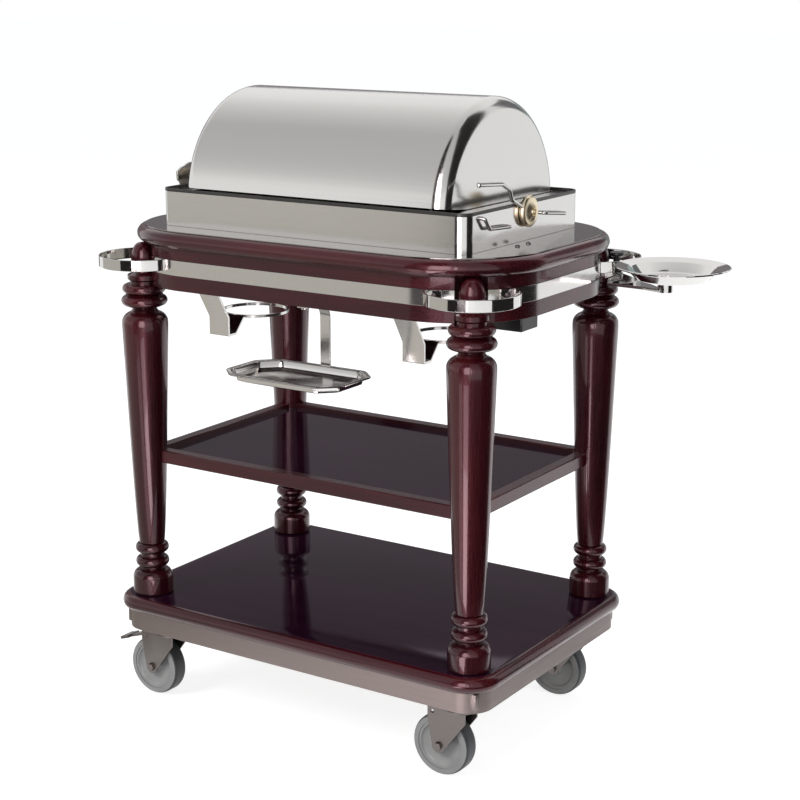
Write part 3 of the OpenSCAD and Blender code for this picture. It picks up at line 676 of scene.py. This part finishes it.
def leg_outline(wood, height):
    """Radius and height of the turned leg, from its foot to its finial."""
    foot, ring, ankle, wide, neck = (
        wood.foot_radius, wood.ring_radius, wood.ankle_radius, wood.leg_radius, wood.neck_height,
    )
    top = neck + 45 * MM
    shaft = [
        (ankle + (wide - ankle) * (i / 24) ** 0.75, 98 * MM + (neck - 128 * MM) * i / 24) for i in range(25)
    ]
    outline = [(0.0, 0.0), (foot - 2 * MM, 0.0), (foot, 3 * MM)]
    outline += arc(foot - 16 * MM, 30 * MM, 16 * MM, 0, 90, 12)
    outline += arc(ring - 9.5 * MM, 60.5 * MM, 9.5 * MM, -90, 90, 16)
    outline += [(ring - 9 * MM, 73.5 * MM)]
    outline += arc(ring - 9.5 * MM, 87 * MM, 9.5 * MM, -90, 90, 16)
    outline += shaft
    outline += arc(wide - 20 * MM, neck - 26 * MM, 20 * MM, 12, 78, 12)
    outline += [(21 * MM, neck)]
    outline += arc(wide - 9.5 * MM, neck + 14.5 * MM, 9.5 * MM, -90, 90, 16)
    outline += [(wide - 8 * MM, neck + 26 * MM)]
    outline += arc(wide - 11 * MM, neck + 36.5 * MM, 8.5 * MM, -90, 90, 16)
    outline += [
        (25 * MM, top), (25 * MM, top + 6 * MM), (29 * MM, top + 9 * MM), (29 * MM, top + 17 * MM),
        (19 * MM, top + 22 * MM), (18 * MM, top + 30 * MM),
        (19 * MM, top + 38 * MM), (22 * MM, top + 44 * MM),
    ]
    rest = height - top - 44 * MM
    outline += [
        (5 * MM + 17 * MM * math.cos(a), top + 44 * MM + rest * math.sin(a))
        for a in map(math.radians, range(15, 91, 15))
    ]
    return outline + [(0.0, height)]


def build_legs(wood):
    for corner in CORNERS:
        node = f"leg_{corner}"
        low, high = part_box(node)
        leg = turned(leg_outline(wood, high.z - low.z), "wood_upright", 96)
        place = (low + high) / 2
        place.z = low.z
        show(f"turned_{node}", placed(leg, place), "trolley", "wood_upright", [node], smooth=30.0)


def build_shelf():
    dressed("shelf_frame", "wood_long", 0.0018, "shelf_rails")
    dressed("shelf_panel", "laminate", 0.0, "shelf_floor")


def build_table_top():
    dressed("apron", "wood_long", 0.0012, "apron_rail")
    dressed("steel_band", "polished", 0.0004, "apron_band")
    loops = half_round_loops("top_board", TOP_CORNER)
    low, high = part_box("well")
    hx, hy = (high.x - low.x) / 2 + 0.002, (high.y - low.y) / 2 - 0.004
    board_low, board_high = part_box("top_board")
    loops += [rounded(hx, hy, 0.0005, z) for z in (board_high.z, board_low.z)]
    show("top_board_edge", lofted("top_board", loops, ring=True), "trolley", "wood_long", ["top_board"])
    dressed("steel_top", "table", 0.0006, "steel_table")


def build_guards():
    for corner in CORNERS:
        dressed(f"guard_{corner}", "bright", 0.0009, f"corner_hoop_{corner}")


def screw_head(radius, height, socket):
    """Domed screw head with a round-bottomed socket, standing on z = 0."""
    outline = [(0.0, -0.0002), (radius, -0.0002), (radius, height * 0.35)]
    for a in map(math.radians, (20, 45, 70, 90)):
        outline.append((socket + (radius - socket) * math.cos(a), height * (0.35 + 0.65 * math.sin(a))))
    outline += [(socket * 0.95, height * 0.35), (0.0, height * 0.3)]
    return outline


def build_screws():
    """Screw heads on the guard tabs and on the steel top, each at the middle of its own solid."""
    for node, radius, height in (("guard_screws", 0.0045, 0.0028), ("top_screws", 0.004, 0.0027)):
        bm = bmesh.new()
        bm.from_mesh(frame["nodes"][node].data)
        bmesh.ops.remove_doubles(bm, verts=bm.verts, dist=SEAM)
        left = set(bm.verts)
        points, facings = [], []
        while left:
            group, edge = set(), [left.pop()]
            while edge:
                vert = edge.pop()
                group.add(vert)
                for link in vert.link_edges:
                    other = link.other_vert(vert)
                    if other in left:
                        left.discard(other)
                        edge.append(other)
            centre = sum((v.co for v in group), Vector()) / len(group)
            facing = outward(centre, node)
            base = min(group, key=lambda v: (v.co - centre).dot(facing))
            points.append(centre + facing * (base.co - centre).dot(facing))
            facings.append(facing)
        bm.free()
        seed = mesh_of("points", points)
        data = seed.attributes.new("facing", "FLOAT_VECTOR", "POINT")
        data.data.foreach_set("vector", [c for f in facings for c in f])
        shape = turned(screw_head(radius, height, radius * 0.42), "zinc", 24)
        head = bpy.data.objects.new("head", tidy(shape))
        bpy.context.scene.collection.objects.link(head)
        mesh = grown("screws", seed, {"Head": head, "Material": FINISH["zinc"]})
        bpy.data.objects.remove(head)
        show(f"{node}_heads", mesh, "trolley", "zinc", [node], clean=False)


def outward(centre, node):
    """The way a screw faces: up on the steel top, and away from the apron's corner on the guards."""
    if node == "top_screws":
        return Vector((0, 0, 1))
    side = Vector((math.copysign(1, centre.x - CENTRE.x), math.copysign(1, centre.y - CENTRE.y)))
    pivot = Vector((CENTRE.x + side.x * GUARD_TURN.x, CENTRE.y + side.y * GUARD_TURN.y))
    return Vector((centre.x - pivot.x, centre.y - pivot.y, 0)).normalized()


def build_tub():
    dressed("tub", "polished", 0.0006, "tub_wall")
    dressed("rim_seal", "rubber", 0.0008, "rim_strip")
    dressed("well", "polished", 0.0, "well_trough")


def build_grips(steel):
    """Wire grips on the tub's ends, each with a small collar at its feet."""
    lines = [[(-150, 5), (-134, -14), (-65, -18)], [(54, -9), (128, -18)]]
    collar = [(0.0, 0.0), (3.2 * MM, 0.0), (3.2 * MM, 1 * MM), (2.9 * MM, 1.4 * MM), (0.0, 1.4 * MM)]
    reach = 8 * MM
    meshes = []
    for s in (-1, 1):
        wall = CENTRE.x + s * (half("rim_seal").x - 0.0006)
        for line in lines:
            ends = [line[0], line[-1]]
            path = [(wall, *ends[0])] + [(wall + s * reach, *point) for point in line] + [(wall, *ends[1])]
            points = [(x, CENTRE.y + y * MM, PIVOT.z + h * MM) for x, y, h in path]
            meshes.append(rod(points, steel.rod, 0.0045))
            for y, h in ends:
                foot = turned(collar, "bright", 24)
                spot = (wall, CENTRE.y + y * MM, PIVOT.z + h * MM)
                meshes.append(placed(foot, spot, "X" if s > 0 else "-X"))
    show("tub_wire_grips", joined(meshes, "grips"), "trolley", "bright", ["tub_grips"])


def build_hangers():
    for side in ("left", "right"):
        dressed(f"hanger_{side}", "polished", 0.0008, f"burner_strap_{side}")
    dressed("underside_block", "paint", 0.002, "underside_box")


def build_pans():
    dressed("pan_carrier", "polished", 0.0003, "pan_brackets")
    dressed("food_pan", "polished", 0.0004, "carving_pan")
    dressed("carving_board", "board", 0.0015, "board_slab")
    dressed("sauce_pans", "polished", 0.0004, "sauce_wells")
    dressed("sauce_lids", "bright", 0.0006, "sauce_covers")


def build_lid(steel):
    """The roll-top: a drum with round end edges, open below, of thin sheet, turned about its own shaft."""
    hx, r, e, t = half("lid_shell").x, LID_RADIUS, steel.lid_edge, steel.sheet
    hub = SHAFT_HOLE

    def skin(hx, r, e):
        """Outline from the right end's middle over the drum to the left end's middle."""
        right = [(hub, hx)] + [(hub + (r - e - hub) * i / 10, hx) for i in range(1, 10)]
        for a in map(math.radians, range(0, 91, 5)):
            right.append((r - e + e * math.sin(a), hx - e + e * math.cos(a)))
        return right + [(rr, -h) for rr, h in reversed(right)]

    outer, inner = skin(hx, r, e), skin(hx - t, r - t, e - t)
    outline = outer + list(reversed(inner)) + [outer[0]]
    start = math.radians(LID_GAP)
    mesh = turned(outline, "lid", 160, math.pi - start)
    # the outline turned from the X axis upwards; its own axis becomes the trolley's X axis
    turn = Matrix(((0, 0, 1, 0), (-1, 0, 0, 0), (0, 1, 0, 0), (0, 0, 0, 1)))
    mesh.transform(Matrix.Rotation(start, 4, "Z"))
    mesh.transform(turn)
    mesh.transform(Matrix.Translation((PIVOT.x, PIVOT.y, PIVOT.z)))
    close_ends(mesh)
    show("lid_drum", mesh, "lid", "lid", ["lid_shell"], smooth=40.0)


def close_ends(mesh):
    """Fills each of the two cut edges of the lid's sheet with one face."""
    bm = bmesh.new()
    bm.from_mesh(mesh)
    bmesh.ops.remove_doubles(bm, verts=bm.verts, dist=WELD)
    rims = [e for e in bm.edges if e.is_boundary]
    bmesh.ops.holes_fill(bm, edges=rims, sides=0)
    bm.to_mesh(mesh)
    bm.free()


def build_cranks(steel):
    dressed("lid_crank_left", "bright", 0.0012, "left_paddle")
    z, lever = PIVOT.z, CENTRE.x + LEVER_OUT
    path = [(0, 0), (-58, 25), (-66, 43), (-92, 55), (-165, 61)]
    bar = rod([(lever, CENTRE.y + y * MM, z + h * MM) for y, h in path], steel.lever, 0.012)
    low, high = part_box("lid_crank_right")
    length = high.x - low.x
    pin = [
        (0.0, 0.0), (0.0072, 0.0), (0.008, 0.0008), (0.008, length - 0.0008), (0.0072, length), (0.0, length),
    ]
    shaft = placed(turned(pin, "bright", 48), (low.x, CENTRE.y, z), "X")
    ball = [(4.5 * MM * math.sin(a), -4.5 * MM * math.cos(a)) for a in map(math.radians, range(0, 181, 12))]
    tip_y, tip_z = path[-1]
    knob = placed(turned(ball, "bright", 32), (lever, CENTRE.y + tip_y * MM, z + tip_z * MM))
    show("right_lever", joined([bar, shaft, knob], "lever"), "lid", "bright", ["lid_crank_right"])
    outline = [(SHAFT_HOLE, 0.0), (25 * MM, 0.0), (26 * MM, 1.2 * MM)]
    outline += [(x * MM, y * MM) for x, y in arc(22, 5, 5, -30, 90, 12)]
    outline += [(18 * MM, 10.3 * MM), (14 * MM, 11 * MM), (9 * MM, 14 * MM), (SHAFT_HOLE, 14.6 * MM)]
    outline.append(outline[0])
    bosses = []
    for s, axis in ((-1, "-X"), (1, "X")):
        bosses.append(placed(turned(outline, "brass", 64), (CENTRE.x + s * BOSS_OUT, CENTRE.y, z), axis))
    show("brass_bosses", joined(bosses, "bosses"), "lid", "brass", ["lid_bosses"])


def build_tray():
    """The hanging tray: a pressed octagonal tray with a flat rim."""
    low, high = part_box("tray")
    centre = (low + high) / 2
    hx, hy = (high.x - low.x) / 2, (high.y - low.y) / 2
    top, bottom, t = high.z, low.z, 0.0015
    # inset, corner cut and height, from the foot over the rim to the floor
    section = (
        (0.020, 0.026, bottom), (0.013, 0.029, bottom + 0.003), (0.011, 0.030, top - 0.004),
        (0.009, 0.031, top - 0.002), (0.001, 0.034, top - 0.002), (0.0, 0.034, top - 0.001),
        (0.001, 0.034, top), (0.0115, 0.030, top), (0.0125, 0.0295, top - 0.001),
        (0.0145, 0.0285, bottom + 0.004), (0.021, 0.0255, bottom + t),
    )
    loops = [clipped(hx - inset, hy - inset, cut, z, centre) for inset, cut, z in section]
    show("hanging_tray", lofted("tray", loops), "tray", "polished", ["tray"], smooth=50.0)
    dressed("tray_strap", "polished", 0.0006, "tray_hanger")


def build_plate_holder(steel):
    dressed("plate_bracket", "polished", 0.0008, "swing_bracket")
    dressed("plate_arm", "bright", 0.0009, "swing_arm")
    dressed("plate_post", "paint", 0.0006, "swing_post")
    low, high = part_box("plate_dish")
    r, h, t = (high.x - low.x) / 2, high.z - low.z, steel.sheet
    flat, rise = r - 0.038, r - 0.020
    outline = [
        (0.0, 0.0), (flat - 0.006, 0.0), (flat - 0.002, 0.0006), (flat + 0.003, 0.003),
        (rise - 0.003, h - 0.0085), (rise + 0.001, h - 0.0063),
        (r - 0.004, h - 0.0035), (r - 0.0008, h - 0.0030), (r, h - 0.0020), (r - 0.0006, h - 0.0006),
        (r - 0.002, h), (r - 0.005, h - 0.0008), (rise, h - 0.006 + t), (rise - 0.005, h - 0.0075 + t),
        (flat + 0.001, 0.003 + t), (flat - 0.004, t + 0.0004), (flat - 0.010, t), (0.0, t),
    ]
    centre = (low + high) / 2
    dish = placed(turned(outline, "bright", 128), (centre.x, centre.y, low.z))
    show("plate_dish_finish", dish, "plate_dish", "bright", ["plate_dish"])


def build_casters():
    dressed("skirt", "satin", 0.0012, "base_skirt")
    dressed("caster_plates", "zinc", 0.0006, "caster_heads")
    for corner in CORNERS:
        dressed(f"fork_{corner}", "zinc", 0.0009, f"caster_fork_{corner}")
        dressed(f"axle_{corner}", "zinc", 0.0004, f"caster_axle_{corner}")
        low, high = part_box(f"tyre_{corner}")
        centre = (low + high) / 2
        r, w = (high.x - low.x) / 2, (high.y - low.y) / 2
        hub = half(f"wheel_{corner}").y
        disc = [
            (4.05 * MM, -hub), (13 * MM, -hub), (14 * MM, 1 * MM - hub), (16 * MM, 4 * MM - w),
            (20 * MM, 5 * MM - w), (r - 20 * MM, 5 * MM - w), (r - 17 * MM, 3 * MM - w),
            (r - 15.5 * MM, 1 * MM - w), (r - 11 * MM, 1 * MM - w),
        ]
        disc += [(a, -b) for a, b in reversed(disc)] + [disc[0]]
        show(
            f"wheel_disc_{corner}", placed(turned(disc, "wheel", 64), centre, "Y"),
            f"wheel_{corner}", "wheel", [f"wheel_{corner}"],
        )
        band = [(r - 10.98 * MM, -w), (r - 8 * MM, -w)]
        band += arc(r - 8 * MM, 6 * MM - w, 8 * MM, -49, 0, 8)
        band += arc(r - 8 * MM, w - 6 * MM, 8 * MM, 0, 49, 8)
        band += [(r - 8 * MM, w), (r - 10.98 * MM, w), (r - 10.98 * MM, -w)]
        tread = tidy(placed(turned(band, "tyre", 96), centre, "Y"))
        tread.materials.clear()
        tread.materials.append(FINISH["tyre"])
        tread.materials.append(FINISH["wheel"])
        for polygon in tread.polygons:
            polygon.material_index = 1 if abs(polygon.normal.y) > TREAD_SIDE else 0
        show(f"tread_{corner}", tread, f"wheel_{corner}", "tyre", [f"tyre_{corner}"], clean=False)
    for corner in ("front_left", "rear_left"):
        dressed(f"brake_{corner}", "zinc", 0.0009, f"brake_pedal_{corner}")


# stage ------------------------------------------------------------------------------


def show_background(made):
    """1 for rays that see the backdrop itself or mirror it, and 0 for the light that falls on things."""
    path = made.add("ShaderNodeLightPath").outputs
    seen = made.add(
        "ShaderNodeMath", {0: path["Is Camera Ray"], 1: path["Is Glossy Ray"]}, operation="ADD"
    ).outputs[0]
    return made.add(
        "ShaderNodeMath", {0: seen, 1: path["Is Transmission Ray"]}, operation="ADD", use_clamp=True
    ).outputs[0]


def build_world():
    world = bpy.data.worlds.new("studio")
    world.use_nodes = True
    world.node_tree.nodes.clear()
    bpy.context.scene.world = world
    made = Nodes(world.node_tree)
    dim = made.add("ShaderNodeBackground", {"Color": (0.92, 0.96, 1.0, 1.0), "Strength": 0.45})
    white = made.add("ShaderNodeBackground", {"Color": (1.0, 1.0, 1.0, 1.0), "Strength": 1.0})
    seen = show_background(made)
    mixed = made.add("ShaderNodeMixShader", {0: seen, 1: dim.outputs[0], 2: white.outputs[0]})
    made.add("ShaderNodeOutputWorld", {"Surface": mixed.outputs[0]})


def build_floor(stage):
    reach = stage.floor_size / 2
    square = [(-reach, -reach, 0), (reach, -reach, 0), (reach, reach, 0), (-reach, reach, 0)]
    mesh = mesh_of("floor", square, [(0, 1, 2, 3)])
    material, made = new_finish("pale_floor")
    cloud = streaks(made, (1.2, 1.2, 1.2), 2.0)
    tone = ramp(made, cloud, [(0.3, (0.40, 0.40, 0.40, 1.0)), (0.7, (0.42, 0.42, 0.42, 1.0))])
    matte = made.add("ShaderNodeBsdfDiffuse", {"Color": tone})
    glow = made.add("ShaderNodeEmission", {"Color": (1.0, 1.0, 1.0, 1.0), "Strength": FLOOR_GLOW})
    nothing = made.add("ShaderNodeEmission", {"Color": (0.0, 0.0, 0.0, 1.0), "Strength": 0.0})
    seen = show_background(made)
    shine = made.add("ShaderNodeMixShader", {0: seen, 1: nothing.outputs[0], 2: glow.outputs[0]})
    both = made.add("ShaderNodeAddShader", {0: matte.outputs[0], 1: shine.outputs[0]})
    made.add("ShaderNodeOutputMaterial", {"Surface": both.outputs[0]})
    mesh.materials.append(material)
    floor = bpy.data.objects.new("floor", mesh)
    bpy.context.scene.collection.objects.link(floor)


def aim(thing, place, target):
    thing.location = place
    thing.rotation_mode = "QUATERNION"
    thing.rotation_quaternion = (Vector(target) - Vector(place)).to_track_quat("-Z", "Y")


def softbox(name, place, target, width, height, power, mirrored=False):
    """A soft rectangular lamp; only a mirrored one shows in the steel and the lacquer."""
    data = bpy.data.lights.new(name, "AREA")
    data.shape = "RECTANGLE"
    data.size, data.size_y = width, height
    data.energy = power
    lamp = bpy.data.objects.new(name, data)
    bpy.context.scene.collection.objects.link(lamp)
    lamp.visible_glossy = mirrored
    aim(lamp, place, target)


def around(azimuth, distance, height):
    """A place round the trolley, by its bearing from the front towards the right."""
    a = math.radians(azimuth)
    return Vector((distance * math.sin(a), -distance * math.cos(a), height))


def hidden_card(name, mesh, tone, made, material):
    """Ends a studio card: one that only reflections see."""
    shade = made.add("ShaderNodeEmission", {"Color": tone, "Strength": 1.0})
    made.add("ShaderNodeOutputMaterial", {"Surface": shade.outputs[0]})
    mesh.materials.append(material)
    sheet = bpy.data.objects.new(name, mesh)
    bpy.context.scene.collection.objects.link(sheet)
    sheet.visible_camera = False
    sheet.visible_diffuse = False
    sheet.visible_shadow = False


def fan_card(name, start, end, near, far, tone):
    """A card of one tone between two bearings, from one distance and height to another."""
    steps = 10
    turns = [start + (end - start) * i / steps for i in range(steps + 1)]
    points = [around(a, *near) for a in turns] + [around(a, *far) for a in turns]
    faces = [(i, i + 1, i + steps + 2, i + steps + 1) for i in range(steps)]
    material, made = new_finish(name)
    hidden_card(name, mesh_of(name, points, faces), (*tone, 1.0), made, material)


def ceiling_card(height, reach, front, rear):
    """A grey ceiling that gets lighter towards the front and white at its rear edge."""
    points = [(-reach, front, height), (reach, front, height), (reach, rear, height), (-reach, rear, height)]
    material, made = new_finish("ceiling")
    place = made.add("ShaderNodeTexCoord").outputs["Object"]
    along = made.add("ShaderNodeSeparateXYZ", {"Vector": place}).outputs["Y"]
    tones = (0.98, 0.90, 0.74, 0.62, 0.57, 1.0)
    stops = [(i / (len(tones) - 1), (t, t, t, 1.0)) for i, t in enumerate(tones)]
    tone = ramp(made, spread(made, along, 0.0, 1.0, front, rear), stops)
    hidden_card("ceiling", mesh_of("ceiling", points, [(0, 1, 2, 3)]), tone, made, material)


def build_camera(stage):
    data = bpy.data.cameras.new("camera")
    data.lens = stage.lens
    data.sensor_width = 36.0
    data.shift_y = stage.shift
    data.clip_start, data.clip_end = 0.05, 100.0
    camera = bpy.data.objects.new("camera", data)
    bpy.context.scene.collection.objects.link(camera)
    aim(camera, stage.camera, stage.target)
    bpy.context.scene.camera = camera


def build_lights():
    aim_at = (0.0, 0.0, 0.7)
    softbox("key", (-1.6, -3.2, 3.0), aim_at, 1.6, 1.6, 95.0)
    softbox("strip", around(30, 5.6, 1.7), aim_at, 0.28, 3.0, 20.0, mirrored=True)
    softbox("fill", (3.4, -0.4, 2.2), aim_at, 1.6, 1.8, 45.0)
    softbox("overhead", (0.0, 0.3, 3.6), aim_at, 2.6, 2.0, 70.0)


# studio cards by name: two bearings, near and far edge as distance and height, and tone;
# a tone above 1 is brighter than the backdrop
LEFT = (0.55, 0.53, 0.49)
DARK = (0.02, 0.018, 0.018)
CARDS = (
    ("left_near", -85, -6, (0.7, 0.003), (3.2, 0.003), (0.60, 0.57, 0.53)),
    ("left_far", -85, -24, (3.2, 0.003), (14.0, 0.003), LEFT),
    ("dark_near", -6, 135, (0.7, 0.003), (3.2, 0.003), DARK),
    ("patch_near", 1, 22, (0.8, 0.006), (1.75, 0.006), (8.0, 7.0, 7.2)),
    ("patch_far", 1, 22, (1.75, 0.006), (2.6, 0.006), (3.6, 3.0, 3.2)),
    ("patch_left", -20, -5, (0.8, 0.006), (2.6, 0.006), (1.9, 1.65, 1.7)),
    ("dark_far_left", -24, 18, (3.2, 0.003), (7.0, 0.003), DARK),
    ("dark_far_right", 75, 138, (3.2, 0.003), (7.0, 0.003), DARK),
    ("dark_wall_left", -24, 18, (7.0, 0.0), (7.0, 4.0), DARK),
    ("dark_wall_right", 75, 138, (7.0, 0.0), (7.0, 4.0), DARK),
    ("dark_top_left", -24, 18, (0.8, 3.9), (7.0, 3.9), DARK),
    ("dark_top_right", 75, 138, (0.8, 3.9), (7.0, 3.9), DARK),
    ("key_window", 2, 25, (3.1, 0.35), (3.1, 3.0), (6.0, 5.3, 5.5)),
    ("rear_dark", 191, 255, (3.2, 0.0), (3.2, 1.95), (0.215, 0.20, 0.21)),
    ("rear_grey", 176, 191, (3.2, 0.0), (3.2, 1.95), (0.34, 0.41, 0.41)),
    ("rear_right", 150, 182, (7.0, 2.0), (7.0, 5.5), (0.16, 0.16, 0.17)),
)


def build_cards():
    """What steel and lacquer mirror: grey ceiling, warm floor, dark sides and bright patches in front."""
    ceiling_card(4.0, 12.0, -12.0, 2.4)
    for name, start, end, near, far, tone in CARDS:
        fan_card(name, start, end, near, far, tone)


# operators --------------------------------------------------------------------------


def settings():
    scene = bpy.context.scene
    return scene.trolley_wood, scene.trolley_steel, scene.trolley_stage


class TROLLEY_OT_finishes(bpy.types.Operator):
    """Make the wood, metal, plastic and board finishes"""

    bl_idname = "trolley.finishes"
    bl_label = "Finishes"

    def execute(self, context):
        wood, steel, _ = settings()
        make_finishes(wood, steel)
        return {"FINISHED"}


class TROLLEY_OT_base(bpy.types.Operator):
    """Build the deck, the skirt and the casters"""

    bl_idname = "trolley.base"
    bl_label = "Base"

    def execute(self, context):
        build_deck()
        build_casters()
        return {"FINISHED"}


class TROLLEY_OT_legs(bpy.types.Operator):
    """Turn the four legs"""

    bl_idname = "trolley.legs"
    bl_label = "Legs"

    def execute(self, context):
        build_legs(settings()[0])
        return {"FINISHED"}


class TROLLEY_OT_shelf(bpy.types.Operator):
    """Build the middle shelf"""

    bl_idname = "trolley.shelf"
    bl_label = "Shelf"

    def execute(self, context):
        build_shelf()
        return {"FINISHED"}


class TROLLEY_OT_table(bpy.types.Operator):
    """Build the apron, the board, its steel top, the corner hoops and the screws"""

    bl_idname = "trolley.table"
    bl_label = "Table top"

    def execute(self, context):
        build_table_top()
        build_guards()
        build_screws()
        return {"FINISHED"}


class TROLLEY_OT_tub(bpy.types.Operator):
    """Build the tub, its strip, well, grips and burner straps"""

    bl_idname = "trolley.tub"
    bl_label = "Tub"

    def execute(self, context):
        build_tub()
        build_grips(settings()[1])
        build_hangers()
        return {"FINISHED"}


class TROLLEY_OT_pans(bpy.types.Operator):
    """Build the pan, the carving board and the sauce pans under the lid"""

    bl_idname = "trolley.pans"
    bl_label = "Pans"

    def execute(self, context):
        build_pans()
        return {"FINISHED"}


class TROLLEY_OT_lid(bpy.types.Operator):
    """Build the roll-top lid, its levers and its bosses"""

    bl_idname = "trolley.lid"
    bl_label = "Lid"

    def execute(self, context):
        steel = settings()[1]
        build_lid(steel)
        build_cranks(steel)
        return {"FINISHED"}


class TROLLEY_OT_holders(bpy.types.Operator):
    """Build the hanging tray and the swinging plate holder"""

    bl_idname = "trolley.holders"
    bl_label = "Holders"

    def execute(self, context):
        build_tray()
        build_plate_holder(settings()[1])
        return {"FINISHED"}


class TROLLEY_OT_stage(bpy.types.Operator):
    """Set the floor, the backdrop, the lights and the camera"""

    bl_idname = "trolley.stage"
    bl_label = "Stage"

    def execute(self, context):
        stage = settings()[2]
        build_world()
        build_floor(stage)
        build_lights()
        build_cards()
        build_camera(stage)
        bpy.context.scene.view_settings.view_transform = "Standard"
        return {"FINISHED"}


OPERATORS = (
    TROLLEY_OT_finishes, TROLLEY_OT_base, TROLLEY_OT_legs, TROLLEY_OT_shelf, TROLLEY_OT_table, TROLLEY_OT_tub,
    TROLLEY_OT_pans, TROLLEY_OT_lid, TROLLEY_OT_holders, TROLLEY_OT_stage,
)


class TROLLEY_PT_pieces(bpy.types.Panel):
    """Lists the trolley's pieces and their settings"""

    bl_idname = "TROLLEY_PT_pieces"
    bl_label = "Carving trolley"
    bl_space_type = "VIEW_3D"
    bl_region_type = "UI"
    bl_category = "Trolley"

    def draw(self, context):
        for key, group in SETTINGS.items():
            column = self.layout.box().column(align=True)
            for name in group.__annotations__:
                column.prop(getattr(context.scene, key), name)
        for operator in OPERATORS:
            self.layout.operator(operator.bl_idname)


def register():
    for group in SETTINGS.values():
        bpy.utils.register_class(group)
    for operator in OPERATORS:
        bpy.utils.register_class(operator)
    bpy.utils.register_class(TROLLEY_PT_pieces)
    for key, group in SETTINGS.items():
        setattr(bpy.types.Scene, key, PointerProperty(type=group))


def unregister():
    for key in SETTINGS:
        delattr(bpy.types.Scene, key)
    bpy.utils.unregister_class(TROLLEY_PT_pieces)
    for operator in reversed(OPERATORS):
        bpy.utils.unregister_class(operator)
    for group in reversed(list(SETTINGS.values())):
        bpy.utils.unregister_class(group)


def main():
    register()
    for operator in OPERATORS:
        section, name = operator.bl_idname.split(".")
        getattr(getattr(bpy.ops, section), name)()


if __name__ == "__main__":
    main()
